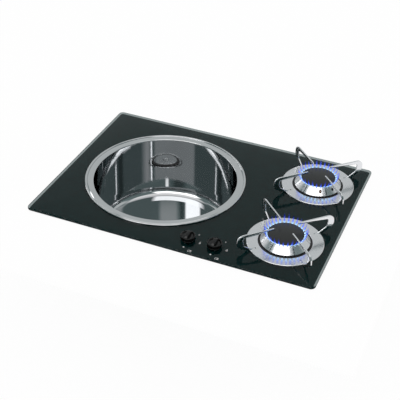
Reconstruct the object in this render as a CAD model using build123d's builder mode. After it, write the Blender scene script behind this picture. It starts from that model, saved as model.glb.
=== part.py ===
from build123d import *
import os
from math import cos, radians, sin, sqrt, tan

# Hob and sink unit: a glass top with a round bowl on the left and two gas burners on the right.
# Origin at the middle of the top, on the worktop plane. X runs right, Y to the back, Z up. Millimetres.

os.makedirs("parts", exist_ok=True)

# Driving sizes of the glass top and of what it rests on
glass_width = 600.0
glass_depth = 420.0
glass_thickness = 6.0
glass_corner_radius = 10.0
glass_edge_round = 1.8
seal_thickness = 1.0
seal_width = 5.0
seal_inset = 5.0

# Clearances: loose pieces, pieces that touch through a thin gap, and turning shafts
loose = 0.5
seat_gap = 0.2
running_gap = 0.05

# Sink bowl and its rim
rim_radius = 168.0
rim_margin = 42.0
rim_seal_thickness = 0.4
lip_width = 4.6
lip_height = 3.4
lip_round = 1.9
band_height = 2.3
band_fall = 0.3
rim_width = 18.5
bowl_depth = 140.0
bowl_draft = 1.0
bowl_edge_radius = 3.5
bowl_corner_radius = 17.0
bowl_fall = 2.0
bowl_sheet = 0.9
hole_play = 3.0

# Clamping hoop under the glass
hoop_sheet = 1.5
hoop_drop = 11.0
hoop_height = 12.0
hoop_lugs = 6
lug_width = 15.0
jack_pad_radius = 4.5
jack_pad_thickness = 1.2

# Sink waste
waste_hole_radius = 25.0
waste_flange_radius = 31.0
waste_recess = 2.4
waste_sheet = 1.2
gasket_thickness = 0.8
well_depth = 13.0
well_bends = [1.5, 2.5]
strainer_holes = 8
strainer_hole_radius = 3.0
strainer_circle_share = 0.6
lower_gasket_thickness = 2.0
waste_cup_radius = 30.0
waste_cup_wall = 3.0
waste_cup_depth = 36.0
waste_cup_round = 4.0
outlet_radius = 12.5
outlet_wall = 2.0
outlet_reach = 66.0
outlet_stop = 35.0
outlet_stop_width = 3.0
outlet_stop_height = 1.2
waste_screw_radius = 2.5
waste_screw_length = 18.0
plug_lip = 2.5
plug_grip_radius = 7.0
plug_grip_height = 6.0
plug_seal_rounds = [1.0, 0.6, 0.5, 1.5]
plug_top_rounds = [0.3, 0.5, 1.5, 1.2]

# Hob tray
tray_depth = 50.0
tray_sheet = 0.9
tray_flange = 7.0
tray_seal_thickness = 0.8
tray_corner_radius = 9.0
tray_floor_radius = 5.0
tray_reach = 142.0
tray_past_knob = 24.0
tray_bowl_gap = 6.0
shelf_left_reach = 50.0
shelf_back_reach = 33.0
cutout_play = 1.5
vent_circle = 34.0
vent_count = 6
vent_turn = 30.0
vent_length = 16.0
vent_width = 4.0

# Burner positions and pan plates
plate_radius = 75.0
plate_side_margin = 17.0
plate_front_margin = 33.0
plate_rear_margin = 25.0
plate_sheet = 1.2
plate_height = 2.2
plate_bend = 1.6
arm_thickness = 2.6
arm_edge = 0.35
arm_height = 39.0
arm_bar = 7.2
arm_tip_bar = 3.8
arm_tip_radius = 26.0
arm_bend_radius = 13.5
arm_beyond_plate = 28.0
arm_end_width = 12.0
arm_knee_height = 15.0
arm_heel_overhang = 4.5
arm_foot_length = 16.5
arm_instep = 10.0
arm_knee_inset = 2.5
arm_knee_drop = 1.5
arm_rounds = [1.2, arm_bend_radius, 12.0, 1.0, 0.5, 0.5, 2.0, 7.0, 5.0, 1.0]
arms_per_plate = 4
first_arm_angle = 45.0
slot_play = 0.2

# Burner head: cup, flared crown and cap
cup_radius = 36.0
cup_wall = 2.5
cup_flange = 2.6
cup_rise = 3.4
cup_bottom = -22.0
cup_floor_radius = 27.0
throat_radius = 9.0
cup_screw_offset = 20.0
cup_screw_depth = 8.0
cup_throat_height = 9.0
cup_rounds = [0.6, 0.6, 0.6, 1.0, 6.0, 3.0, 1.5, 0.5, 0.5, 1.0, 2.0, 5.0]
crown_edge_gap = 2.0
burner_seal_lip = 0.6
burner_seal_wall = 4.5
crown_flare = 12.0
crown_foot_height = 4.4
crown_neck_inset = 1.5
crown_height = 18.2
crown_wall = 2.4
crown_slits = 6
crown_slit_width = 1.2
first_slit_angle = 10.0
port_count = 30
port_width = 1.8
port_depth = 3.0
crown_tube_foot = -1.0
cap_overhang = 0.8
cap_rim = 1.6
cap_dome = 3.0
cap_pegs = 3
cap_peg_radius = 1.2
cap_peg_length = 2.8
sensor_radius = 1.9
sensor_hole = 2.7
sensor_tip = 13.5
sensor_foot = -14.0
sensor_nut = 3.0
sensor_angles = {"front": 113.0, "rear": -67.0}
second_hole_turn = 39.0

# Bridge and jet under each burner
bridge_sheet = 1.5
bridge_width = 26.0
bridge_half_span = 46.0
bridge_foot = 12.0
air_hole_radius = 10.0
jet_radius = 3.4
jet_height = 4.0
jet_spigot = 2.4
jet_bore = 0.5
holder_radius = 7.0
holder_base_radius = 11.0
holder_spigot_radius = 4.0
holder_nut = 5.0
holder_base = 3.0
holder_top = -34.0
port_height = -39.0
port_radius = 4.5
port_reach = 13.0

# Taps and knobs
knob_pitch = 55.0
knob_from_front = 39.0
first_knob_from_sink = 125.0
knob_radius = 14.6
knob_wall = 1.8
knob_rise = 3.6
knob_height = 10.3
knob_travel = 3.0
knob_edge_round = 0.8
knob_dish = 2.2
knob_rim_width = 2.0
knob_hub_radius = 5.4
knob_rounds = [1.0, 0.5, knob_edge_round, 0.4, 0, 0.8, 0.5, 0]
fin_height = 15.0
fin_width = 7.6
fin_inset = 1.8
fin_round = 1.6
fin_rounds = [2.0, 8.0, 8.0, 2.0]
bezel_overlap = 3.2
bezel_height = 1.4
spindle_radius = 3.0
spindle_flat = 1.4
spindle_depth = 16.5
push_pin_length = 1.6
tap_hole_radius = 9.0
tap_radius = 11.0
tap_top = -7.6
tap_length = 24.0
tap_neck_radius = 7.0
tap_neck_top = -1.5
tap_ear_span = 36.0
tap_ear_width = 12.0
tap_ear_thickness = 3.0
tap_screw_offset = 13.0
tap_port_height = -22.0
outlet_boss_radius = 4.5
outlet_boss_reach = 16.0
magnet_radius = 6.0
magnet_reach = 27.0
saddle_length = 14.0
saddle_width = 24.0
tap_outlet_angles = {"left": 0.0, "right": 90.0}
tap_magnet_angles = {"left": 180.0, "right": 0.0}

# Gas rail, inlet, pipes, tap bracket and screws
bracket_sheet = 1.5
bracket_depth = 38.0
bracket_flange = 16.0
bracket_side = 22.0
rail_radius = 6.0
rail_wall = 1.2
rail_over_floor = 9.4
rail_left = 18.0
rail_right = 50.0
clamp_sheet = 1.4
clamp_length = 10.0
elbow_radius = 8.0
elbow_length = 18.0
inlet_radius = 4.0
inlet_wall = 0.8
inlet_drop = 34.0
inlet_root_radius = 5.0
inlet_root_drop = 4.0
pipe_radius = 2.5
pipe_bore = 1.7
lead_radius = 1.0
pipe_bend = 12.0
lead_bend = 7.0
lead_lift = 1.4
nut_across = 10.0
nut_length = 8.0
screw_radius = 2.0
screw_head_radius = 3.8
screw_head = 2.4
screw_length = 7.0
small_screw_radius = 1.25
small_head_radius = 2.3
small_head = 1.6

# Worktop clips and the rail that carries the left pair
clip_sheet = 1.5
clip_width = 16.0
clip_from_middle = 90.0
clip_screw_height = -20.0
clip_grip = 31.0
clip_reach = 16.0
clip_bend = 2.0
side_rail_length = 250.0
side_rail_sheet = 1.2
side_rail_flange = 12.0
side_rail_leg = 34.0

# Heights and places that follow from the sizes above
glass_bottom = seal_thickness
glass_top_z = glass_bottom + glass_thickness
half_width = glass_width / 2
half_depth = glass_depth / 2
sink_x = -half_width + rim_margin + rim_radius
burner_x = half_width - plate_side_margin - plate_radius
front_burner_y = -half_depth + plate_front_margin + plate_radius
rear_burner_y = half_depth - plate_rear_margin - plate_radius
knob_y = -half_depth + knob_from_front
bowl_radius = rim_radius - rim_width
arm_reach = plate_radius + arm_beyond_plate
arm_heel_radius = plate_radius + arm_heel_overhang
arm_foot_radius = arm_heel_radius - arm_foot_length
arm_instep_radius = arm_heel_radius - arm_instep
crown_foot_radius = cup_radius + crown_flare
crown_neck_radius = cup_radius - crown_neck_inset
cap_radius = crown_neck_radius + cap_overhang
cup_flange_radius = crown_foot_radius - crown_edge_gap
glass_burner_radius = crown_foot_radius + crown_edge_gap
plate_hole_radius = glass_burner_radius + crown_edge_gap
sensor_circle = (cup_radius + cup_flange_radius) / 2
knob_dish_radius = knob_radius - knob_rim_width
fin_reach = knob_radius - fin_inset
bezel_radius = tap_hole_radius + bezel_overlap
left_knob_x = sink_x + first_knob_from_sink
right_knob_x = left_knob_x + knob_pitch
tray_top = glass_bottom - tray_seal_thickness
tray_floor = tray_top - tray_depth + tray_sheet
burners = {"front": (burner_x, front_burner_y), "rear": (burner_x, rear_burner_y)}
knobs = {"left": (left_knob_x, knob_y), "right": (right_knob_x, knob_y)}


def upright(x, y):
    return Plane(origin=(x, y, 0), x_dir=(1, 0, 0), z_dir=(0, -1, 0))


def upright_at(x, y, angle):
    turn = radians(angle)
    return Plane(origin=(x, y, 0), x_dir=(cos(turn), sin(turn), 0), z_dir=(sin(turn), -cos(turn), 0))


def level(x, y, z):
    return Plane(origin=(x, y, z))


def spin(x, y):
    return Axis((x, y, 0), (0, 0, 1))


def keep(part, name):
    part.part.label = name
    export_step(part.part, "parts/" + name + ".step")
    print(name, round(part.part.volume), len(part.part.solids()))


def folded_sheet(plane, points, radii, sheet):
    """Section of a folded sheet: its front face follows the points, its back lies to their left."""
    front = [Vector(*point) for point in points]
    ways = [(b - a).normalized() for a, b in zip(front, front[1:])]
    left = [Vector(-way.Y, way.X) for way in ways]
    back = [front[0] + left[0] * sheet]
    back_radii = []
    corners = zip(front[1:], left, left[1:], ways, ways[1:], radii)
    for corner, before, after, way_in, way_out, radius in corners:
        back.append(corner + (before + after) * (sheet / (1 + before.dot(after))))
        turns_left = way_in.cross(way_out).Z > 0
        back_radii.append(max(radius - sheet, 0) if turns_left else radius + sheet)
    back.append(front[-1] + left[-1] * sheet)
    with BuildSketch(plane, mode=Mode.PRIVATE) as section:
        with BuildLine():
            face_line = FilletPolyline(*front, radius=radii)
            back_line = FilletPolyline(*back, radius=back_radii)
            Line(face_line @ 0, back_line @ 0)
            Line(face_line @ 1, back_line @ 1)
        make_face()
    return section.sketch


# Glass top, with its polished edge and its five round holes
sink_hole_radius = bowl_radius + bowl_sheet + hole_play
with BuildPart() as glass_top:
    with BuildSketch(Plane.XY.offset(glass_bottom)):
        RectangleRounded(glass_width, glass_depth, glass_corner_radius)
    extrude(amount=glass_thickness)
    faces_across = glass_top.faces().filter_by(Axis.Z)
    fillet(faces_across.edges(), radius=glass_edge_round)
    with BuildSketch(Plane.XY.offset(glass_bottom)):
        with Locations((sink_x, 0)):
            Circle(sink_hole_radius)
        with Locations(*burners.values()):
            Circle(glass_burner_radius)
        with Locations(*knobs.values()):
            Circle(tap_hole_radius)
    extrude(amount=glass_thickness, mode=Mode.SUBTRACT)
keep(glass_top, "glass_top")

# Foam seal between the glass and the worktop
with BuildPart() as worktop_seal:
    with BuildSketch(Plane.XY):
        RectangleRounded(glass_width - 2 * seal_inset, glass_depth - 2 * seal_inset,
                         glass_corner_radius - seal_inset)
        inner_inset = seal_inset + seal_width
        RectangleRounded(glass_width - 2 * inner_inset, glass_depth - 2 * inner_inset,
                         glass_corner_radius / 2, mode=Mode.SUBTRACT)
    extrude(amount=seal_thickness)
keep(worktop_seal, "worktop_seal")

# Bowl: one sheet, from the rolled lip on the glass down the wall to the waste hole
lip_foot = glass_top_z + seat_gap
groove_z = glass_top_z + rim_seal_thickness + bowl_sheet
band_z = glass_top_z + band_height
band_outer = rim_radius - lip_width - 2 * bowl_sheet
bowl_floor = glass_top_z - bowl_depth
wall_foot = bowl_radius - bowl_depth * tan(radians(bowl_draft))
recess_radius = waste_flange_radius + 2 * loose
recess_top = bowl_floor - bowl_fall
recess_z = recess_top - waste_recess
bowl_line = [
    (rim_radius, lip_foot),
    (rim_radius, glass_top_z + lip_height),
    (rim_radius - lip_width, glass_top_z + lip_height),
    (rim_radius - lip_width, groove_z),
    (band_outer, band_z),
    (bowl_radius, band_z - band_fall),
    (wall_foot, bowl_floor),
    (recess_radius + waste_recess, recess_top),
    (recess_radius, recess_z),
    (waste_hole_radius, recess_z),
]
bowl_bends = [lip_round, lip_round, 0, 0, bowl_edge_radius, bowl_corner_radius, 1.0, 0]
with BuildPart() as sink_bowl:
    revolve(folded_sheet(upright(sink_x, 0), bowl_line, bowl_bends, bowl_sheet), axis=spin(sink_x, 0))
keep(sink_bowl, "sink_bowl")

with BuildPart() as rim_seal:
    with BuildSketch(level(sink_x, 0, glass_top_z)):
        Circle(rim_radius - lip_width)
        Circle(sink_hole_radius + loose, mode=Mode.SUBTRACT)
    extrude(amount=rim_seal_thickness - running_gap)
keep(rim_seal, "rim_seal")

# Hoop welded round the bowl, with lugs whose jack screws push up against the glass
hoop_inner = bowl_radius + bowl_sheet + seat_gap
hoop_outer = hoop_inner + hoop_sheet
jack_circle = sink_hole_radius + loose + jack_pad_radius
with BuildPart() as bowl_hoop:
    with BuildSketch(level(sink_x, 0, -hoop_drop)):
        Circle(hoop_outer)
        Circle(hoop_inner, mode=Mode.SUBTRACT)
    extrude(amount=-hoop_height)
    with BuildSketch(level(sink_x, 0, -hoop_drop)):
        with PolarLocations(jack_circle, hoop_lugs):
            Circle(lug_width / 2)
            with Locations((-jack_pad_radius, 0)):
                Rectangle(2 * jack_pad_radius, lug_width)
        Circle(hoop_inner, mode=Mode.SUBTRACT)
    extrude(amount=-hoop_sheet)
    with BuildSketch(level(sink_x, 0, -hoop_drop)):
        with PolarLocations(jack_circle, hoop_lugs):
            Circle(screw_radius + running_gap)
    extrude(amount=-hoop_sheet, mode=Mode.SUBTRACT)
keep(bowl_hoop, "bowl_hoop")

with BuildPart() as jack_screws:
    with BuildSketch(level(sink_x, 0, glass_bottom)):
        with PolarLocations(jack_circle, hoop_lugs):
            Circle(jack_pad_radius)
    extrude(amount=-jack_pad_thickness)
    with BuildSketch(level(sink_x, 0, glass_bottom)):
        with PolarLocations(jack_circle, hoop_lugs):
            Circle(screw_radius)
    extrude(amount=-hoop_drop - glass_bottom - hoop_sheet - screw_head)
    with BuildSketch(level(sink_x, 0, -hoop_drop - hoop_sheet - 2 * screw_head)):
        with PolarLocations(jack_circle, hoop_lugs):
            RegularPolygon(screw_head_radius, 6)
    extrude(amount=screw_head)
keep(jack_screws, "jack_screws")

# Waste: gaskets, strainer flange, outlet cup, centre screw and plug
flange_z = recess_z + gasket_thickness + waste_sheet
well_radius = waste_hole_radius - waste_sheet - loose
strainer_z = flange_z - well_depth
bowl_underside = recess_z - bowl_sheet
cup_top = bowl_underside - lower_gasket_thickness
cup_inner = waste_cup_radius - waste_cup_wall
cup_floor = cup_top - waste_cup_depth + waste_cup_wall
outlet_z = cup_floor + outlet_radius - outlet_wall + loose
boss_top = strainer_z - waste_sheet - seat_gap

with BuildPart() as waste_gasket:
    with BuildSketch(level(sink_x, 0, recess_z)):
        Circle(waste_flange_radius)
        Circle(waste_hole_radius + loose, mode=Mode.SUBTRACT)
    extrude(amount=gasket_thickness)
keep(waste_gasket, "waste_gasket")

well_line = [
    (waste_flange_radius, flange_z),
    (well_radius, flange_z),
    (well_radius, strainer_z),
    (waste_screw_radius + running_gap, strainer_z),
]
with BuildPart() as waste_flange:
    revolve(folded_sheet(upright(sink_x, 0), well_line, well_bends, waste_sheet), axis=spin(sink_x, 0))
    with BuildSketch(level(sink_x, 0, strainer_z)):
        with PolarLocations(well_radius * strainer_circle_share, strainer_holes):
            Circle(strainer_hole_radius)
    extrude(amount=-waste_sheet, mode=Mode.SUBTRACT)
keep(waste_flange, "waste_flange")

with BuildPart() as lower_gasket:
    with BuildSketch(level(sink_x, 0, cup_top)):
        Circle(waste_cup_radius + waste_cup_wall)
        Circle(waste_hole_radius + loose, mode=Mode.SUBTRACT)
    extrude(amount=lower_gasket_thickness)
keep(lower_gasket, "lower_gasket")

with BuildPart() as waste_body:
    with BuildSketch(level(sink_x, 0, cup_top)):
        Circle(waste_cup_radius + waste_cup_wall)
    extrude(amount=-waste_cup_wall)
    with BuildSketch(level(sink_x, 0, cup_top)):
        Circle(waste_cup_radius)
    extrude(amount=-waste_cup_depth)
    with BuildSketch(Plane(origin=(sink_x, 0, outlet_z), x_dir=(1, 0, 0), z_dir=(0, 1, 0))):
        Circle(outlet_radius)
    extrude(amount=outlet_reach)
    with BuildSketch(Plane(origin=(sink_x, outlet_stop, outlet_z), x_dir=(1, 0, 0), z_dir=(0, 1, 0))):
        Circle(outlet_radius + outlet_stop_height)
    extrude(amount=-outlet_stop_width)
    with BuildSketch(level(sink_x, 0, cup_top)):
        Circle(cup_inner)
    extrude(amount=-waste_cup_depth + waste_cup_wall, mode=Mode.SUBTRACT)
    with BuildSketch(Plane(origin=(sink_x, 0, outlet_z), x_dir=(1, 0, 0), z_dir=(0, 1, 0))):
        Circle(outlet_radius - outlet_wall)
    extrude(amount=outlet_reach, mode=Mode.SUBTRACT)
    with BuildSketch(level(sink_x, 0, cup_floor)):
        Circle(waste_screw_radius + waste_cup_wall)
        Circle(waste_screw_radius + running_gap, mode=Mode.SUBTRACT)
    extrude(amount=boss_top - cup_floor)
    fillet(waste_body.edges().filter_by(GeomType.CIRCLE).sort_by(Axis.Z)[0], radius=waste_cup_round)
    chamfer(waste_body.edges().filter_by(GeomType.CIRCLE).group_by(Axis.Y)[-1].sort_by(SortBy.RADIUS)[-1],
            length=outlet_wall / 2)
keep(waste_body, "waste_body")

with BuildPart() as waste_screw:
    with BuildSketch(level(sink_x, 0, strainer_z)):
        Circle(2 * waste_screw_radius)
    extrude(amount=screw_head)
    fillet(waste_screw.edges().group_by(Axis.Z)[-1], radius=1)
    with BuildSketch(level(sink_x, 0, strainer_z)):
        Circle(waste_screw_radius)
    extrude(amount=-waste_screw_length)
keep(waste_screw, "waste_screw")

plug_z = flange_z + seat_gap
plug_bottom = strainer_z + screw_head + loose
with BuildPart() as plug_seal:
    with BuildSketch(upright(sink_x, 0)):
        with BuildLine():
            FilletPolyline(
                (0, plug_z + plug_lip),
                (waste_flange_radius - plug_lip, plug_z + plug_lip),
                (waste_flange_radius - plug_lip, plug_z),
                (well_radius - loose, plug_z),
                (well_radius - 3 * loose, plug_bottom),
                (0, plug_bottom),
                radius=plug_seal_rounds,
            )
            Line((0, plug_bottom), (0, plug_z + plug_lip))
        make_face()
    revolve(axis=spin(sink_x, 0))
keep(plug_seal, "plug_seal")

with BuildPart() as plug_top:
    top_z = plug_z + plug_lip
    with BuildSketch(upright(sink_x, 0)):
        with BuildLine():
            FilletPolyline(
                (0, top_z),
                (well_radius, top_z),
                (well_radius, top_z + waste_sheet),
                (plug_grip_radius / 2, top_z + waste_sheet * 1.5),
                (plug_grip_radius, top_z + plug_grip_height),
                (0, top_z + plug_grip_height),
                radius=plug_top_rounds,
            )
            Line((0, top_z + plug_grip_height), (0, top_z))
        make_face()
    revolve(axis=spin(sink_x, 0))
keep(plug_top, "plug_top")

# Hob tray: a folded pan under the burners and taps, cut back round the bowl, with its bonding flange
tray_edge_x = half_width - seal_inset - seal_width - cutout_play
tray_edge_y = half_depth - seal_inset - seal_width - cutout_play
tray_right = tray_edge_x - tray_flange
tray_back = tray_edge_y - tray_flange
tray_left = min(burner_x - tray_reach, right_knob_x - tray_past_knob)
shelf_left = left_knob_x - shelf_left_reach
shelf_back = knob_y + shelf_back_reach
tray_arc = rim_radius + tray_bowl_gap


def tray_plan(z, grow):
    with BuildSketch(Plane.XY.offset(z), mode=Mode.PRIVATE) as plan:
        with Locations(((tray_left + tray_right) / 2, 0)):
            Rectangle(tray_right - tray_left, 2 * tray_back)
        with Locations(((shelf_left + tray_right) / 2, (shelf_back - tray_back) / 2)):
            Rectangle(tray_right - shelf_left, shelf_back + tray_back)
        with Locations((sink_x, 0)):
            Circle(tray_arc, mode=Mode.SUBTRACT)
        fillet(plan.vertices(), radius=tray_corner_radius)
        if grow:
            offset(amount=grow)
    return plan.sketch


# Places that the tray, the bridges and the taps share
tray_underside = tray_top - tray_depth
rail_z = tray_floor + rail_over_floor
rail_start = left_knob_x - rail_left
rail_end = right_knob_x + rail_right
inlet_x = rail_end + elbow_length / 2
foot_reach = bridge_half_span + bridge_foot
foot_screw = foot_reach - bridge_foot / 2
foot_points = [(x, y + way * foot_screw) for x, y in burners.values() for way in (-1, 1)]
clip_points = [clip_from_middle, -clip_from_middle]
bracket_left = left_knob_x - bracket_side
bracket_right = right_knob_x + bracket_side
bracket_top = tap_top + seat_gap / 2 + bracket_sheet
bracket_screw_z = bracket_top - bracket_flange * 0.6
bracket_screw_xs = [bracket_left + bracket_side / 2, bracket_right - bracket_side / 2]
screw_hole = screw_radius + loose / 2


def facing(x, y, z, angle):
    """Plane at a point, whose normal lies level and turned by the angle from +X."""
    turn = radians(angle)
    return Plane(origin=(x, y, z), x_dir=(-sin(turn), cos(turn), 0), z_dir=(cos(turn), sin(turn), 0))


with BuildPart() as hob_tray:
    add(tray_plan(tray_top, 0))
    extrude(amount=-tray_depth)
    fillet(hob_tray.faces().sort_by(Axis.Z)[0].edges(), radius=tray_floor_radius)
    offset(amount=-tray_sheet, openings=hob_tray.faces().sort_by(Axis.Z)[-1])
    with BuildSketch(Plane.XY.offset(tray_top)):
        add(tray_plan(tray_top, tray_flange))
        add(tray_plan(tray_top, -tray_sheet), mode=Mode.SUBTRACT)
    extrude(amount=-tray_sheet)
    with BuildSketch(Plane.XY.offset(tray_underside)):
        with Locations(*foot_points):
            Circle(screw_hole)
        for x, y in burners.values():
            with Locations((x, y)):
                Circle(holder_spigot_radius + loose / 2)
                with PolarLocations(vent_circle, vent_count, start_angle=vent_turn):
                    SlotOverall(vent_length, vent_width)
        with Locations((inlet_x, knob_y)):
            Circle(inlet_root_radius + loose)
        with Locations(((left_knob_x + right_knob_x) / 2, knob_y)):
            with GridLocations(vent_length * 1.4, vent_width * 3, 4, 2):
                SlotOverall(vent_length, vent_width)
    extrude(amount=2 * tray_sheet, mode=Mode.SUBTRACT)
    for y in clip_points:
        with BuildSketch(facing(tray_right, y, clip_screw_height, 0)):
            Circle(screw_hole)
        extrude(amount=tray_sheet, both=True, mode=Mode.SUBTRACT)
    for x in bracket_screw_xs:
        with BuildSketch(facing(x, -tray_back, bracket_screw_z, 90)):
            Circle(screw_hole)
        extrude(amount=tray_sheet, both=True, mode=Mode.SUBTRACT)
keep(hob_tray, "hob_tray")

# Side rail under the left edge, bonded like the tray, and the four worktop clips
with BuildPart() as side_rail:
    rail_line = [
        (-tray_right, tray_top - side_rail_leg),
        (-tray_right, tray_top),
        (-tray_right + side_rail_flange, tray_top),
    ]
    section = folded_sheet(upright(0, 0), rail_line[::-1], [side_rail_sheet * 1.5], side_rail_sheet)
    extrude(section, amount=side_rail_length / 2, both=True)
    for y in clip_points:
        with BuildSketch(facing(-tray_right, y, clip_screw_height, 0)):
            Circle(screw_hole)
        extrude(amount=2 * side_rail_sheet, both=True, mode=Mode.SUBTRACT)
keep(side_rail, "side_rail")

with BuildPart() as bonding_seals:
    with BuildSketch(Plane.XY.offset(tray_top)):
        add(tray_plan(tray_top, tray_flange))
        add(tray_plan(tray_top, 0), mode=Mode.SUBTRACT)
        with Locations((-tray_right + side_rail_flange / 2, 0)):
            Rectangle(side_rail_flange - 2 * side_rail_sheet, side_rail_length)
    extrude(amount=tray_seal_thickness)
keep(bonding_seals, "bonding_seals")

clip_inner = tray_right + seat_gap / 2
clip_line = [
    (clip_inner + clip_sheet, clip_screw_height + clip_width / 2),
    (clip_inner + clip_sheet, -clip_grip - 2 * clip_sheet),
    (clip_inner + clip_reach - 3 * clip_sheet, -clip_grip),
    (clip_inner + clip_reach, -clip_grip - 2 * clip_sheet),
]
with BuildPart() as worktop_clips:
    section = folded_sheet(upright(0, 0), clip_line[::-1], [clip_bend, clip_bend], clip_sheet)
    for y in clip_points:
        extrude(section.moved(Location((0, y, 0))), amount=clip_width / 2, both=True)
    for y in clip_points:
        with BuildSketch(facing(tray_right, y, clip_screw_height, 0)):
            Circle(screw_hole)
        extrude(amount=4 * clip_sheet, both=True, mode=Mode.SUBTRACT)
    mirror(about=Plane.YZ)
keep(worktop_clips, "worktop_clips")


# Burners: pan plate with its four hooked arms, then cup, crown, cap, sensor, bridge and jet
def arm_outline(plane):
    """One pan arm on its side: pointed bar, round outer end, leg running back in to its foot."""
    foot = glass_top_z + seat_gap
    with BuildSketch(plane, mode=Mode.PRIVATE) as outline:
        with BuildLine():
            FilletPolyline(
                (arm_tip_radius, glass_top_z + arm_height),
                (arm_reach, glass_top_z + arm_height),
                (arm_reach, glass_top_z + arm_knee_height),
                (arm_heel_radius, foot),
                (arm_foot_radius, foot),
                (arm_foot_radius, glass_top_z + plate_height - seat_gap),
                (arm_instep_radius, glass_top_z + plate_height - seat_gap),
                (arm_reach - arm_end_width - arm_knee_inset, glass_top_z + arm_knee_height - arm_knee_drop),
                (arm_reach - arm_end_width, glass_top_z + arm_height - arm_bar),
                (arm_tip_radius - 1, glass_top_z + arm_height - arm_tip_bar),
                radius=arm_rounds,
                close=True,
            )
        make_face()
    return outline.sketch


seal_lip_inner = glass_burner_radius - burner_seal_wall - 2 * burner_seal_lip
with BuildPart() as burner_seals:
    for x, y in burners.values():
        with BuildSketch(upright(x, y)):
            with BuildLine():
                Polyline(
                    (seal_lip_inner, glass_top_z),
                    (seal_lip_inner, glass_top_z + burner_seal_lip),
                    (plate_hole_radius - loose, glass_top_z + burner_seal_lip),
                    (plate_hole_radius - loose, glass_top_z),
                    (glass_burner_radius - seat_gap, glass_top_z),
                    (glass_burner_radius - seat_gap, glass_bottom + seat_gap),
                    (glass_burner_radius - burner_seal_wall, glass_bottom + seat_gap),
                    (glass_burner_radius - burner_seal_wall, glass_top_z),
                    close=True,
                )
            make_face()
        revolve(axis=spin(x, y))
keep(burner_seals, "burner_seals")

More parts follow.
